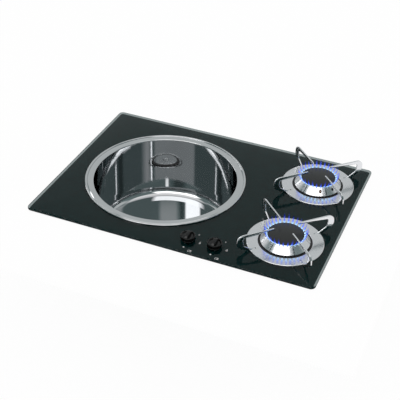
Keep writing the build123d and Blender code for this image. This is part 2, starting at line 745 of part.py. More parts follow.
arm_angles = [first_arm_angle + 360 / arms_per_plate * i for i in range(arms_per_plate)]
for place, (x, y) in burners.items():
    plate_line = [
        (plate_radius, glass_top_z + seat_gap),
        (plate_radius, glass_top_z + plate_height),
        (plate_hole_radius, glass_top_z + plate_height),
        (plate_hole_radius, glass_top_z + seat_gap),
    ]
    with BuildPart() as pan_plate:
        section = folded_sheet(upright(x, y), plate_line, [plate_bend, plate_bend], plate_sheet)
        revolve(section, axis=spin(x, y))
        slot_width = arm_thickness + 2 * slot_play
        slot_start = arm_foot_radius - slot_width / 2
        with BuildSketch(level(x, y, glass_top_z)):
            with PolarLocations(0, arms_per_plate, start_angle=first_arm_angle):
                with Locations(((slot_start + plate_radius) / 2 + slot_width / 2, 0)):
                    SlotOverall(plate_radius - slot_start + slot_width, slot_width)
        extrude(amount=2 * plate_height, mode=Mode.SUBTRACT)
    keep(pan_plate, place + "_pan_plate")

    for number, angle in enumerate(arm_angles, start=1):
        with BuildPart() as pan_arm:
            extrude(arm_outline(upright_at(x, y, angle)), amount=arm_thickness / 2, both=True)
            flat_faces = pan_arm.faces().sort_by(SortBy.AREA)[-2:]
            chamfer(flat_faces.edges(), length=arm_edge)
        keep(pan_arm, place + "_pan_arm_" + str(number))

    cup_top_z = glass_top_z + cup_rise
    with BuildPart() as burner_cup:
        with BuildSketch(upright(x, y)):
            with BuildLine():
                FilletPolyline(
                    (cup_radius - cup_wall, cup_top_z),
                    (cup_flange_radius, cup_top_z),
                    (cup_flange_radius, cup_top_z - cup_flange),
                    (cup_radius, cup_top_z - cup_flange),
                    (cup_radius, cup_bottom / 2),
                    (cup_floor_radius, cup_bottom),
                    (throat_radius, cup_bottom),
                    (throat_radius, cup_bottom + cup_throat_height),
                    (throat_radius + cup_wall, cup_bottom + cup_throat_height),
                    (throat_radius + cup_wall, cup_bottom + cup_wall),
                    (cup_floor_radius - cup_wall, cup_bottom + cup_wall),
                    (cup_radius - cup_wall, cup_bottom / 2),
                    radius=cup_rounds,
                    close=True,
                )
            make_face()
        revolve(axis=spin(x, y))
        with BuildSketch(level(x, y, cup_bottom)):
            with PolarLocations(cup_screw_offset, 2, start_angle=90):
                Circle(screw_radius + cup_wall / 2)
        extrude(amount=cup_screw_depth)
        with BuildSketch(level(x, y, cup_bottom)):
            with PolarLocations(cup_screw_offset, 2, start_angle=90):
                Circle(screw_radius + running_gap)
        extrude(amount=cup_screw_depth - 1, mode=Mode.SUBTRACT)
        with BuildSketch(level(x, y, cup_top_z)):
            with PolarLocations(sensor_circle, 1, start_angle=sensor_angles[place]):
                Circle(sensor_hole)
        extrude(amount=-2 * cup_flange, mode=Mode.SUBTRACT)
    keep(burner_cup, place + "_burner_cup")

    # Crown: inner tube into the cup, ring of ports under the cap, flared skirt with slits
    tube_outer = cup_radius - cup_wall - seat_gap
    tube_inner = tube_outer - crown_wall
    crown_top = glass_top_z + crown_height
    crown_foot = glass_top_z + crown_foot_height
    skirt_fall = (crown_top - crown_foot) / (crown_foot_radius - crown_neck_radius)
    skirt_drop = crown_wall * sqrt(1 + skirt_fall ** 2)
    skirt_join = crown_top - (tube_outer - crown_neck_radius) * skirt_fall - skirt_drop
    foot_under = cup_top_z + seat_gap
    foot_inner = tube_outer + (skirt_join - foot_under) / skirt_fall
    with BuildPart() as burner_crown:
        with BuildSketch(upright(x, y)):
            with BuildLine():
                Polyline(
                    (tube_inner, glass_top_z + crown_tube_foot),
                    (tube_outer, glass_top_z + crown_tube_foot),
                    (tube_outer, skirt_join),
                    (foot_inner, foot_under),
                    (crown_foot_radius, foot_under),
                    (crown_foot_radius, crown_foot),
                    (crown_neck_radius, crown_top),
                    (tube_inner, crown_top),
                    close=True,
                )
            make_face()
        revolve(axis=spin(x, y))
        with BuildSketch(level(x, y, crown_top)):
            port_circle = (tube_inner + crown_neck_radius) / 2
            with PolarLocations(port_circle, port_count, start_angle=first_slit_angle / 2):
                Rectangle(4 * crown_wall, port_width)
        extrude(amount=-port_depth, mode=Mode.SUBTRACT)
        with BuildSketch(level(x, y, crown_top)):
            slit_middle = (crown_neck_radius + 1.5 * crown_wall + crown_foot_radius + crown_wall) / 2
            slit_length = crown_foot_radius - crown_neck_radius - crown_wall / 2
            with PolarLocations(slit_middle, crown_slits, start_angle=first_slit_angle):
                Rectangle(slit_length, crown_slit_width)
        extrude(amount=foot_under - crown_top, mode=Mode.SUBTRACT)
        with BuildSketch(level(x, y, crown_top)):
            with PolarLocations(sensor_circle, 1, start_angle=sensor_angles[place]):
                Circle(sensor_hole)
            with PolarLocations(sensor_circle, 1, start_angle=sensor_angles[place] + second_hole_turn):
                Circle(sensor_hole)
        extrude(amount=foot_under - crown_top, mode=Mode.SUBTRACT)
    keep(burner_crown, place + "_burner_crown")

    cap_z = crown_top + seat_gap / 2
    with BuildPart() as burner_cap:
        with BuildSketch(upright(x, y)):
            with BuildLine():
                Polyline(
                    (0, cap_z + cap_rim + cap_dome),
                    (0, cap_z + cap_rim / 2),
                    (tube_inner - crown_wall, cap_z + cap_rim / 2),
                    (tube_inner - 1, cap_z),
                    (cap_radius, cap_z),
                    (cap_radius, cap_z + cap_rim),
                )
                Bezier(
                    (cap_radius, cap_z + cap_rim),
                    (cap_radius / 2, cap_z + cap_rim + cap_dome),
                    (0, cap_z + cap_rim + cap_dome),
                )
            make_face()
        revolve(axis=spin(x, y))
        with BuildSketch(level(x, y, cap_z + cap_rim / 2)):
            with PolarLocations(tube_inner - seat_gap - cap_peg_radius, cap_pegs):
                Circle(cap_peg_radius)
        extrude(amount=-cap_peg_length - cap_rim / 2)
    keep(burner_cap, place + "_burner_cap")

    # Bridge that carries the cup, and the jet in its holder on the tray floor
    with BuildPart() as burner_bridge:
        bridge_line = [
            (-foot_reach, tray_floor),
            (-bridge_half_span, tray_floor),
            (-bridge_half_span, cup_bottom - bridge_sheet),
            (bridge_half_span, cup_bottom - bridge_sheet),
            (bridge_half_span, tray_floor),
            (foot_reach, tray_floor),
        ]
        bends = [2 * bridge_sheet, bridge_sheet, bridge_sheet, 2 * bridge_sheet]
        section = folded_sheet(upright_at(x, y, 90), bridge_line, bends, bridge_sheet)
        extrude(section, amount=bridge_width / 2, both=True)
        with BuildSketch(level(x, y, cup_bottom)):
            Circle(air_hole_radius)
            with PolarLocations(cup_screw_offset, 2, start_angle=90):
                Circle(screw_hole)
        extrude(amount=-2 * bridge_sheet, mode=Mode.SUBTRACT)
        with BuildSketch(level(x, y, tray_floor)):
            with PolarLocations(foot_screw, 2, start_angle=90):
                Circle(screw_radius + running_gap)
        extrude(amount=2 * bridge_sheet, mode=Mode.SUBTRACT)
    keep(burner_bridge, place + "_burner_bridge")

    with BuildPart() as jet_holder:
        with BuildSketch(upright(x, y)):
            with BuildLine():
                Polyline(
                    (0, tray_underside - holder_nut),
                    (holder_spigot_radius, tray_underside - holder_nut),
                    (holder_spigot_radius, tray_floor),
                    (holder_base_radius, tray_floor),
                    (holder_base_radius, tray_floor + holder_base),
                    (holder_radius, tray_floor + holder_base),
                    (holder_radius, holder_top),
                    (0, holder_top),
                    close=True,
                )
            make_face()
        revolve(axis=spin(x, y))
        with BuildSketch(facing(x, y, port_height, 180)):
            Circle(port_radius)
        extrude(amount=port_reach)
        with BuildSketch(facing(x, y, port_height, 180)):
            Circle(pipe_bore)
        extrude(amount=port_reach, mode=Mode.SUBTRACT)
        with BuildSketch(level(x, y, holder_top)):
            Circle(jet_spigot + running_gap)
        extrude(amount=port_height - holder_top, mode=Mode.SUBTRACT)
    keep(jet_holder, place + "_jet_holder")


# Jets, screwed into the tops of their holders
with BuildPart() as jets:
    for x, y in burners.values():
        with BuildSketch(level(x, y, holder_top)):
            RegularPolygon(jet_radius, 6)
        extrude(amount=jet_height)
        with BuildSketch(level(x, y, holder_top - jet_height)):
            Circle(jet_spigot)
        extrude(amount=jet_height * 2.6)
    chamfer(jets.edges().group_by(Axis.Z)[-1], length=1)
    for x, y in burners.values():
        with BuildSketch(level(x, y, holder_top - jet_height)):
            Circle(jet_bore)
        extrude(amount=jet_height * 2.6, mode=Mode.SUBTRACT)
keep(jets, "jets")

# Screws of the cups, the bridge feet, the tap bracket and the clips, and the nuts of the jet holders
cup_screw_seats = [level(x, y + way * cup_screw_offset, cup_bottom - bridge_sheet)
                   for x, y in burners.values() for way in (-1, 1)]
foot_screw_seats = [level(x, y, tray_underside) for x, y in foot_points]
bracket_screw_seats = [facing(x, -tray_back, bracket_screw_z, 90) for x in bracket_screw_xs]
clip_screw_seats = [facing(way * (clip_inner + clip_sheet), y, clip_screw_height, 90 + 90 * way)
                    for y in clip_points for way in (-1, 1)]
with BuildPart() as pan_head_screws:
    for seat in cup_screw_seats + foot_screw_seats + bracket_screw_seats + clip_screw_seats:
        with BuildSketch(seat):
            Circle(screw_head_radius)
        extrude(amount=-screw_head)
        with BuildSketch(seat):
            Circle(screw_radius)
        extrude(amount=screw_length)
keep(pan_head_screws, "pan_head_screws")

with BuildPart() as holder_nuts:
    with BuildSketch(Plane.XY.offset(tray_underside)):
        with Locations(*burners.values()):
            RegularPolygon(nut_across * 0.7, 6)
            Circle(holder_spigot_radius + running_gap, mode=Mode.SUBTRACT)
    extrude(amount=-holder_nut * 0.8)
keep(holder_nuts, "holder_nuts")

# Taps: body with neck, ears, outlet, magnet and saddle, then spindle, knob and bezel
tap_bottom = tap_top - tap_length
for side, (x, y) in knobs.items():
    with BuildPart() as tap_body:
        with BuildSketch(level(x, y, tap_top)):
            Circle(tap_radius)
        extrude(amount=-tap_length)
        with BuildSketch(level(x, y, tap_top)):
            Circle(tap_neck_radius)
        extrude(amount=tap_neck_top - tap_top)
        with BuildSketch(level(x, y, tap_top)):
            SlotOverall(tap_ear_span, tap_ear_width)
        extrude(amount=-tap_ear_thickness)
        with BuildSketch(facing(x, y, tap_port_height, tap_outlet_angles[side])):
            Circle(outlet_boss_radius)
        extrude(amount=outlet_boss_reach)
        with BuildSketch(facing(x, y, tap_port_height, tap_magnet_angles[side])):
            Circle(magnet_radius)
        extrude(amount=magnet_reach)
        with BuildSketch(level(x, y, rail_z)):
            Rectangle(saddle_length, saddle_width)
        extrude(amount=tap_bottom - rail_z)
        with BuildSketch(facing(x - saddle_length, y, rail_z, 0)):
            Circle(rail_radius + running_gap)
        extrude(amount=2 * saddle_length, mode=Mode.SUBTRACT)
        with BuildSketch(facing(x, y, tap_port_height, tap_outlet_angles[side])):
            Circle(pipe_bore)
        extrude(amount=outlet_boss_reach, mode=Mode.SUBTRACT)
        with BuildSketch(level(x, y, tap_neck_top)):
            Circle(spindle_radius + running_gap)
        extrude(amount=-spindle_depth - push_pin_length - knob_travel - loose, mode=Mode.SUBTRACT)
        with BuildSketch(level(x, y, tap_top)):
            with PolarLocations(tap_screw_offset, 2):
                Circle(small_screw_radius + running_gap)
        extrude(amount=-2 * tap_ear_thickness, mode=Mode.SUBTRACT)
    keep(tap_body, side + "_tap_body")

    spindle_top = glass_top_z + knob_height
    spindle_foot = tap_neck_top - spindle_depth
    with BuildPart() as spindle:
        with BuildSketch(level(x, y, spindle_foot)):
            Circle(spindle_radius)
        extrude(amount=spindle_top - spindle_foot)
        with BuildSketch(level(x, y, spindle_top)):
            with Locations((spindle_radius, 0)):
                Rectangle(2 * spindle_flat, 2 * spindle_radius)
        extrude(amount=-knob_height + bezel_height, mode=Mode.SUBTRACT)
        chamfer(spindle.edges().filter_by(GeomType.CIRCLE).sort_by(Axis.Z)[-1], length=0.5)
    keep(spindle, side + "_spindle")

    with BuildPart() as push_pin:
        with BuildSketch(level(x, y, spindle_foot)):
            Circle(spindle_radius)
        extrude(amount=-push_pin_length)
        chamfer(push_pin.edges().group_by(Axis.Z)[0], length=push_pin_length / 4)
    keep(push_pin, side + "_push_pin")

    knob_foot = glass_top_z + knob_rise
    knob_top = glass_top_z + knob_height
    dish_z = knob_top - knob_dish
    hub_foot = glass_top_z + bezel_height + knob_travel + loose
    with BuildPart() as fin:
        with BuildSketch(upright_at(x, y, 90)):
            with BuildLine():
                FilletPolyline(
                    (-fin_reach, hub_foot + 1),
                    (-fin_reach, knob_top),
                    (-fin_width, glass_top_z + fin_height),
                    (fin_width, glass_top_z + fin_height),
                    (fin_reach, knob_top),
                    (fin_reach, hub_foot + 1),
                    radius=fin_rounds,
                    close=False,
                )
                Line((fin_reach, hub_foot + 1), (-fin_reach, hub_foot + 1))
            make_face()
        extrude(amount=fin_width / 2, both=True)
        outline_edges = fin.faces().sort_by(SortBy.AREA)[-2:].edges()
        upper_edges = outline_edges.filter_by_position(Axis.Z, hub_foot + 2, glass_top_z + fin_height)
        fillet(upper_edges, radius=fin_round)

    with BuildPart() as knob:
        with BuildSketch(upright(x, y)):
            with BuildLine():
                FilletPolyline(
                    (0, dish_z),
                    (knob_dish_radius - knob_dish, dish_z),
                    (knob_dish_radius, knob_top),
                    (knob_radius, knob_top),
                    (knob_radius, knob_foot),
                    (knob_radius - knob_wall, knob_foot),
                    (knob_radius - knob_wall, dish_z - knob_wall),
                    (knob_hub_radius, dish_z - knob_wall),
                    (knob_hub_radius, hub_foot),
                    (0, hub_foot),
                    radius=knob_rounds,
                )
                Line((0, hub_foot), (0, dish_z))
            make_face()
        revolve(axis=spin(x, y))
        add(fin.part)
        with BuildSketch(level(x, y, hub_foot)):
            Circle(spindle_radius + running_gap)
            with Locations((spindle_radius + running_gap, 0)):
                Rectangle(2 * spindle_flat, 2 * spindle_radius + 1, mode=Mode.SUBTRACT)
        extrude(amount=spindle_top + seat_gap - hub_foot, mode=Mode.SUBTRACT)
    keep(knob, side + "_knob")


# Bezels: rubber bushes in the glass round the spindles
with BuildPart() as knob_bezels:
    for x, y in knobs.values():
        with BuildSketch(level(x, y, tap_neck_top + seat_gap)):
            Circle(tap_hole_radius - seat_gap)
        extrude(amount=glass_top_z + bezel_height - tap_neck_top - seat_gap)
        with BuildSketch(level(x, y, glass_top_z)):
            Circle(bezel_radius)
        extrude(amount=bezel_height)
    chamfer(knob_bezels.edges().group_by(Axis.Z)[-1], length=bezel_height / 2)
    for x, y in knobs.values():
        with BuildSketch(level(x, y, tap_neck_top + seat_gap)):
            Circle(spindle_radius + loose)
        extrude(amount=2 * glass_top_z, mode=Mode.SUBTRACT)
keep(knob_bezels, "knob_bezels")

# Tap bracket, its screws, and the screws and clamps of the taps
bracket_front = -tray_back + tray_sheet + seat_gap / 2
bracket_middle = (bracket_left + bracket_right) / 2
with BuildPart() as tap_bracket:
    bracket_line = [
        (bracket_front + bracket_depth, bracket_top),
        (bracket_front, bracket_top),
        (bracket_front, bracket_top - bracket_flange),
    ]
    side_plane = upright_at(bracket_middle, 0, 90)
    section = folded_sheet(side_plane, bracket_line, [2 * bracket_sheet], bracket_sheet)
    extrude(section, amount=(bracket_right - bracket_left) / 2, both=True)
    with BuildSketch(Plane.XY.offset(bracket_top)):
        for x, y in knobs.values():
            with Locations((x, y)):
                Circle(tap_neck_radius + loose / 2)
                with PolarLocations(tap_screw_offset, 2):
                    Circle(small_screw_radius + loose / 2)
    extrude(amount=-2 * bracket_sheet, mode=Mode.SUBTRACT)
    for x in bracket_screw_xs:
        with BuildSketch(facing(x, bracket_front, bracket_screw_z, 90)):
            Circle(screw_radius + running_gap)
        extrude(amount=2 * bracket_sheet, both=True, mode=Mode.SUBTRACT)
keep(tap_bracket, "tap_bracket")

with BuildPart() as tap_screws:
    for x, y in knobs.values():
        with BuildSketch(level(x, y, bracket_top)):
            with PolarLocations(tap_screw_offset, 2):
                Circle(small_head_radius)
        extrude(amount=small_head)
        with BuildSketch(level(x, y, bracket_top)):
            with PolarLocations(tap_screw_offset, 2):
                Circle(small_screw_radius)
        extrude(amount=-bracket_sheet - tap_ear_thickness)
keep(tap_screws, "tap_screws")

with BuildPart() as rail_clamps:
    clamp_screw = (saddle_width / 2 + rail_radius + clamp_sheet) / 2
    for x, y in knobs.values():
        with BuildSketch(upright_at(x, y, 90)):
            with Locations((0, rail_z)):
                Circle(rail_radius + running_gap + clamp_sheet)
            with Locations((0, rail_z - seat_gap - clamp_sheet / 2)):
                Rectangle(saddle_width, clamp_sheet)
            with Locations((0, rail_z)):
                Circle(rail_radius + running_gap, mode=Mode.SUBTRACT)
            with Locations((0, rail_z + saddle_width / 2 - seat_gap)):
                Rectangle(saddle_width, saddle_width, mode=Mode.SUBTRACT)
        extrude(amount=clamp_length / 2, both=True)
        with BuildSketch(level(x, y, rail_z)):
            with PolarLocations(clamp_screw, 2, start_angle=90):
                Circle(small_screw_radius + loose / 4)
        extrude(amount=-3 * clamp_sheet, mode=Mode.SUBTRACT)
keep(rail_clamps, "rail_clamps")

# Gas rail with its inlet elbow, then the pipes with their nuts and the two sensors with their leads
with BuildPart() as gas_rail:
    with BuildSketch(facing(rail_start, knob_y, rail_z, 0)):
        Circle(rail_radius)
    extrude(amount=rail_end - rail_start)
    with BuildSketch(facing(rail_start + 2 * rail_wall, knob_y, rail_z, 0)):
        Circle(rail_radius - rail_wall)
    extrude(amount=rail_end - rail_start, mode=Mode.SUBTRACT)
keep(gas_rail, "gas_rail")

with BuildPart() as inlet_elbow:
    socket_start = rail_end - elbow_length / 3
    with BuildSketch(facing(socket_start, knob_y, rail_z, 0)):
        Circle(elbow_radius)
    extrude(amount=inlet_x + elbow_radius - socket_start)
    with BuildSketch(level(inlet_x, knob_y, rail_z)):
        Circle(inlet_root_radius)
    extrude(amount=tray_underside - inlet_root_drop - rail_z)
    with BuildSketch(level(inlet_x, knob_y, rail_z)):
        Circle(inlet_radius)
    extrude(amount=tray_underside - inlet_drop - rail_z)
    with BuildSketch(facing(socket_start, knob_y, rail_z, 0)):
        Circle(rail_radius + running_gap)
    extrude(amount=rail_end - socket_start, mode=Mode.SUBTRACT)
    with BuildSketch(facing(rail_end, knob_y, rail_z, 0)):
        Circle(inlet_radius - inlet_wall)
    extrude(amount=inlet_x - rail_end, mode=Mode.SUBTRACT)
    with BuildSketch(level(inlet_x, knob_y, rail_z)):
        Circle(inlet_radius - inlet_wall)
    extrude(amount=tray_underside - inlet_drop - rail_z, mode=Mode.SUBTRACT)
keep(inlet_elbow, "inlet_elbow")

boss_ends = {side: facing(x, y, tap_port_height, tap_outlet_angles[side]).offset(outlet_boss_reach).origin
             for side, (x, y) in knobs.items()}
magnet_ends = {side: facing(x, y, tap_port_height, tap_magnet_angles[side]).offset(magnet_reach).origin
               for side, (x, y) in knobs.items()}
port_ends = {place: Vector(x - port_reach, y, port_height) for place, (x, y) in burners.items()}
straight = nut_length + 2 * loose
pipe_routes = {
    "front": [
        boss_ends["right"],
        boss_ends["right"] + Vector(0, 2 * straight, 0),
        Vector(right_knob_x + 16, front_burner_y - 4, port_height),
        port_ends["front"] - Vector(2.5 * straight, 0, 0),
        port_ends["front"],
    ],
    "rear": [
        boss_ends["left"],
        boss_ends["left"] + Vector(2 * straight, 0, 0),
        Vector(right_knob_x - 12, knob_y + 44, port_height + 6),
        Vector(tray_left + 46, -12, port_height),
        port_ends["rear"] - Vector(4.5 * straight, 0, 0),
        port_ends["rear"],
    ],
}
for place, route in pipe_routes.items():
    with BuildPart() as burner_pipe:
        with BuildLine() as pipe_line:
            FilletPolyline(*route, radius=pipe_bend)
        with BuildSketch(Plane(origin=pipe_line.line @ 0, z_dir=pipe_line.line % 0)):
            Circle(pipe_radius)
            Circle(pipe_bore, mode=Mode.SUBTRACT)
        sweep()
    keep(burner_pipe, place + "_burner_pipe")

nut_seats = [facing(*boss_ends["left"], tap_outlet_angles["left"]),
             facing(*boss_ends["right"], tap_outlet_angles["right"])]
nut_seats += [facing(*port_end, 180) for port_end in port_ends.values()]
with BuildPart() as pipe_nuts:
    for seat in nut_seats:
        with BuildSketch(seat):
            RegularPolygon(nut_across / 2, 6, major_radius=False)
            Circle(pipe_radius + running_gap, mode=Mode.SUBTRACT)
        extrude(amount=nut_length)
keep(pipe_nuts, "pipe_nuts")

lead_z = tray_floor + lead_radius + lead_lift
lead_ends = {place: Vector(x + sensor_circle * cos(radians(sensor_angles[place])),
                           y + sensor_circle * sin(radians(sensor_angles[place])), sensor_foot)
             for place, (x, y) in burners.items()}
lead_routes = {
    "front": [
        magnet_ends["right"],
        magnet_ends["right"] + Vector(19, 0, 0),
        Vector(inlet_x + 11, knob_y + 31, lead_z),
        Vector(lead_ends["front"].X - 16, front_burner_y + 18, lead_z),
        Vector(lead_ends["front"].X, lead_ends["front"].Y, lead_z),
        lead_ends["front"],
    ],
    "rear": [
        magnet_ends["left"],
        magnet_ends["left"] - Vector(11, 0, 0),
        Vector(left_knob_x - 37, knob_y + 10, lead_z),
        Vector(left_knob_x - 22, knob_y + 20, lead_z),
        Vector(left_knob_x + 26, knob_y + 22, lead_z),
        Vector(tray_left + 20, knob_y + 52, lead_z),
        Vector(tray_left + 56, 0, lead_z),
        Vector(lead_ends["rear"].X - 24, lead_ends["rear"].Y - 52, lead_z),
        Vector(lead_ends["rear"].X, lead_ends["rear"].Y - 30, lead_z),
        Vector(lead_ends["rear"].X, lead_ends["rear"].Y, lead_z),
        lead_ends["rear"],
    ],
}
for place, route in lead_routes.items():
    end = lead_ends[place]
    with BuildPart() as flame_sensor:
        with BuildLine() as lead_line:
            FilletPolyline(*route, radius=lead_bend)
        with BuildSketch(Plane(origin=lead_line.line @ 0, z_dir=lead_line.line % 0)):
            Circle(lead_radius)
        sweep()
        with BuildSketch(level(end.X, end.Y, sensor_foot)):
            Circle(sensor_radius)
        extrude(amount=glass_top_z + sensor_tip - sensor_foot)
        fillet(flame_sensor.edges().sort_by(Axis.Z)[-1], radius=sensor_radius * 0.8)
        with BuildSketch(level(end.X, end.Y, cup_top_z - cup_flange - seat_gap)):
            RegularPolygon(sensor_nut, 6)
        extrude(amount=-sensor_nut)
    keep(flame_sensor, place + "_flame_sensor")
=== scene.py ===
from math import cos, pi, radians, sin, sqrt, tan

import bmesh
import bpy
import numpy as np
from mathutils import Matrix, Vector


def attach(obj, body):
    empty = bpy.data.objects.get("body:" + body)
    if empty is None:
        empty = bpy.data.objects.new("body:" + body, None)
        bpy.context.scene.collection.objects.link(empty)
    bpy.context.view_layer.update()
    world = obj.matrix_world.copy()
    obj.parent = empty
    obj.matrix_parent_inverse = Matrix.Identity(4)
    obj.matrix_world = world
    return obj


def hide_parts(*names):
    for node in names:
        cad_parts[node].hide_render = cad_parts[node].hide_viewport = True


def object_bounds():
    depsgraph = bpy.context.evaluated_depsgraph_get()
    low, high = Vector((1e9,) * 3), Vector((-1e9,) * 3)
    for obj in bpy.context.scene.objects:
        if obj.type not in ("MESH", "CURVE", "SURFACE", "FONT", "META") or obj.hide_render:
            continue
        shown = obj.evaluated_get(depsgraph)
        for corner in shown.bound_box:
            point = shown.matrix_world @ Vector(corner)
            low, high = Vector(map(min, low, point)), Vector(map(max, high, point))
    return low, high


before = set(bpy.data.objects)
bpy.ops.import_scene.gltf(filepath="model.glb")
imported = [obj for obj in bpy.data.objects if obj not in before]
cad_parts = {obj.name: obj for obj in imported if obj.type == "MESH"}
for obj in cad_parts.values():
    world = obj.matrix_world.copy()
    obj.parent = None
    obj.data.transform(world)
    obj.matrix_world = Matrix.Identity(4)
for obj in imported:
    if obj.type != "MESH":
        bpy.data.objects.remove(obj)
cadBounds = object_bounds()
mm = 0.001  # sizes below are millimetres, and makeMesh turns them into metres
print("frame loaded")

# Places that several pieces share: bowl, burners and knobs in plan, and the glass heights
sinkAt = (-90.0, 0.0)
burnersAt = {"front": (208.0, -102.0), "rear": (208.0, 110.0)}
knobsAt = {"left": (35.0, -171.0), "right": (90.0, -171.0)}
glassFoot = 1.0
glassFace = 7.0
past = 1.0  # a cutter reaches this far past what it cuts


# Shader maths: a socket that takes part in plain expressions
class Signal:
    def __init__(self, wiring, socket):
        self.wiring = wiring
        self.socket = socket

    def math(self, operation, first, second=None):
        values = {0: first} if second is None else {0: first, 1: second}
        return self.wiring.add("ShaderNodeMath", {"operation": operation}, values)

    def __add__(self, other):
        return self.math("ADD", self, other)

    def __radd__(self, other):
        return self.math("ADD", other, self)

    def __sub__(self, other):
        return self.math("SUBTRACT", self, other)

    def __rsub__(self, other):
        return self.math("SUBTRACT", other, self)

    def __mul__(self, other):
        return self.math("MULTIPLY", self, other)

    def __rmul__(self, other):
        return self.math("MULTIPLY", other, self)

    def __truediv__(self, other):
        return self.math("DIVIDE", self, other)

    def arcsine(self):
        return self.math("ARCSINE", self)

    def turnFrom(self, other):
        return self.math("ARCTAN2", self, other)

    def root(self):
        return self.math("SQRT", self)

    def least(self, other):
        return self.math("MINIMUM", self, other)

    def most(self, other):
        return self.math("MAXIMUM", self, other)

    def within(self, low, high, soft):  # 1 from low to high, fading to 0 over soft to each side
        return self.between(low - soft, low + soft) * (1 - self.between(high - soft, high + soft))

    def between(self, low, high):  # 0 below low, 1 above high, straight in between
        return self.wiring.add("ShaderNodeMapRange", {"clamp": True},
                               {"Value": self, "From Min": low, "From Max": high})


# A node tree under construction, of a material or of the world
class Wiring:
    def __init__(self, tree, outputKind):
        self.nodes = tree.nodes
        self.links = tree.links
        self.nodes.clear()
        self.output = self.nodes.new(outputKind)

    def feed(self, socket, value):
        if isinstance(value, Signal):
            self.links.new(value.socket, socket)
        elif isinstance(value, tuple) and len(value) == 3 and socket.type == "RGBA":
            socket.default_value = value + (1.0,)
        else:
            socket.default_value = value

    def add(self, kind, settings=None, sockets=None, out=0):
        node = self.nodes.new(kind)
        for key, value in (settings or {}).items():
            if key == "stops":
                for spare in list(node.color_ramp.elements)[1:]:
                    node.color_ramp.elements.remove(spare)
                for number, (at, colour) in enumerate(value):
                    stop = node.color_ramp.elements[0] if number == 0 else node.color_ramp.elements.new(at)
                    stop.position = at
                    stop.color = colour + (1.0,)
            else:
                setattr(node, key, value)
        for key, value in (sockets or {}).items():
            self.feed(node.inputs[key], value)
        return Signal(self, node.outputs[out])

    def show(self, surface):
        self.feed(self.output.inputs["Surface"], surface)

    def ray(self, kind):  # 1 on a ray of this kind, such as Camera or Glossy
        return self.add("ShaderNodeLightPath", out=f"Is {kind} Ray")

    def blend(self, factor, first, second):
        return self.add("ShaderNodeMixShader", {}, {0: factor, 1: first, 2: second})

    def parts(self, vector):
        split = self.nodes.new("ShaderNodeSeparateXYZ")
        self.feed(split.inputs[0], vector)
        return [Signal(self, out) for out in split.outputs]

    def ramp(self, value, *stops):
        return self.add("ShaderNodeValToRGB", {"stops": stops}, {"Fac": value})


# A material with one Principled shader; fixed values go straight to its sockets
class Finish(Wiring):
    def __init__(self, name, **fixed):
        self.material = bpy.data.materials.new(name)
        self.material.use_nodes = True
        super().__init__(self.material.node_tree, "ShaderNodeOutputMaterial")
        self.shader = self.nodes.new("ShaderNodeBsdfPrincipled")
        self.show(Signal(self, self.shader.outputs[0]))
        for key, value in fixed.items():
            self.feed(self.shader.inputs[key.replace("_", " ")], value)
        self.place = self.add("ShaderNodeTexCoord", out="Object")

    def put(self, name, value):
        self.feed(self.shader.inputs[name], value)

    def noise(self, scale, detail=3.0, at=None):
        return self.add("ShaderNodeTexNoise", {}, {"Vector": at or self.place, "Scale": scale,
                                                   "Detail": detail, "Roughness": 0.55})

    def radius(self, centre):  # distance from an upright line through a centre in millimetres, and height
        offset = (-centre[0] * mm, -centre[1] * mm, 0.0)
        x, y, z = self.parts(self.add("ShaderNodeMapping", {}, {"Vector": self.place, "Location": offset}))
        return (x * x + y * y).root(), z

    def bump(self, height, depth, strength=1.0):  # depth in millimetres
        self.put("Normal", self.add("ShaderNodeBump", {}, {"Height": height, "Distance": depth * mm,
                                                          "Strength": strength}))


# Shapes
def softLine(points, radii, steps=8):
    # Each inner corner gives way to an arc that touches both legs at the distance radius * tan(turn / 2)
    points = [np.array(p, float) for p in points]
    line = [points[0]]
    for before, corner, after, radius in zip(points, points[1:], points[2:], radii):
        wayIn = (corner - before) / np.linalg.norm(corner - before)
        wayOut = (after - corner) / np.linalg.norm(after - corner)
        side = np.sign(wayIn[0] * wayOut[1] - wayIn[1] * wayOut[0])
        turn = np.arccos(np.clip(wayIn @ wayOut, -1, 1))
        start = corner - wayIn * radius * tan(turn / 2)
        centre = start + side * radius * np.array((-wayIn[1], wayIn[0]))
        angles = side * turn * np.linspace(0, 1, steps + 1)
        x, y = start - centre
        line.extend(centre + np.array((x * cos(a) - y * sin(a), x * sin(a) + y * cos(a))) for a in angles)
    line.append(points[-1])
    return np.array(line)


def softLoop(points, radii, steps=8):
    # A closed outline: the same line run over the corners with one leg more on each end
    points = [tuple(p) for p in points]
    closed = softLine([points[-1]] + points + [points[0]], radii, steps)
    return closed[1:-1]


def besideLine(points, radii, sheet):
    # The line that lies one sheet to the left of a face line: each corner moves along the sum of its two left
    # normals, and each radius grows or shrinks by the sheet
    points = np.array(points, float)
    ways = np.diff(points, axis=0)
    ways /= np.linalg.norm(ways, axis=1)[:, None]
    left = np.stack([-ways[:, 1], ways[:, 0]], axis=1)
    corners = points[1:-1] + (left[:-1] + left[1:]) * (sheet / (1 + (left[:-1] * left[1:]).sum(1)))[:, None]
    turnsLeft = ways[:-1, 0] * ways[1:, 1] - ways[:-1, 1] * ways[1:, 0] > 0
    beside = [points[0] + left[0] * sheet, *corners, points[-1] + left[-1] * sheet]
    return beside, [max(r - sheet, 0) if t else r + sheet for r, t in zip(radii, turnsLeft)]


def sheetLoop(points, radii, sheet, steps=8):
    # Closed section of a folded sheet: out along the face line and home along the line beside it
    beside, besideRadii = besideLine(points, radii, sheet)
    return np.concatenate([softLine(points, radii, steps), softLine(beside, besideRadii, steps)[::-1]])


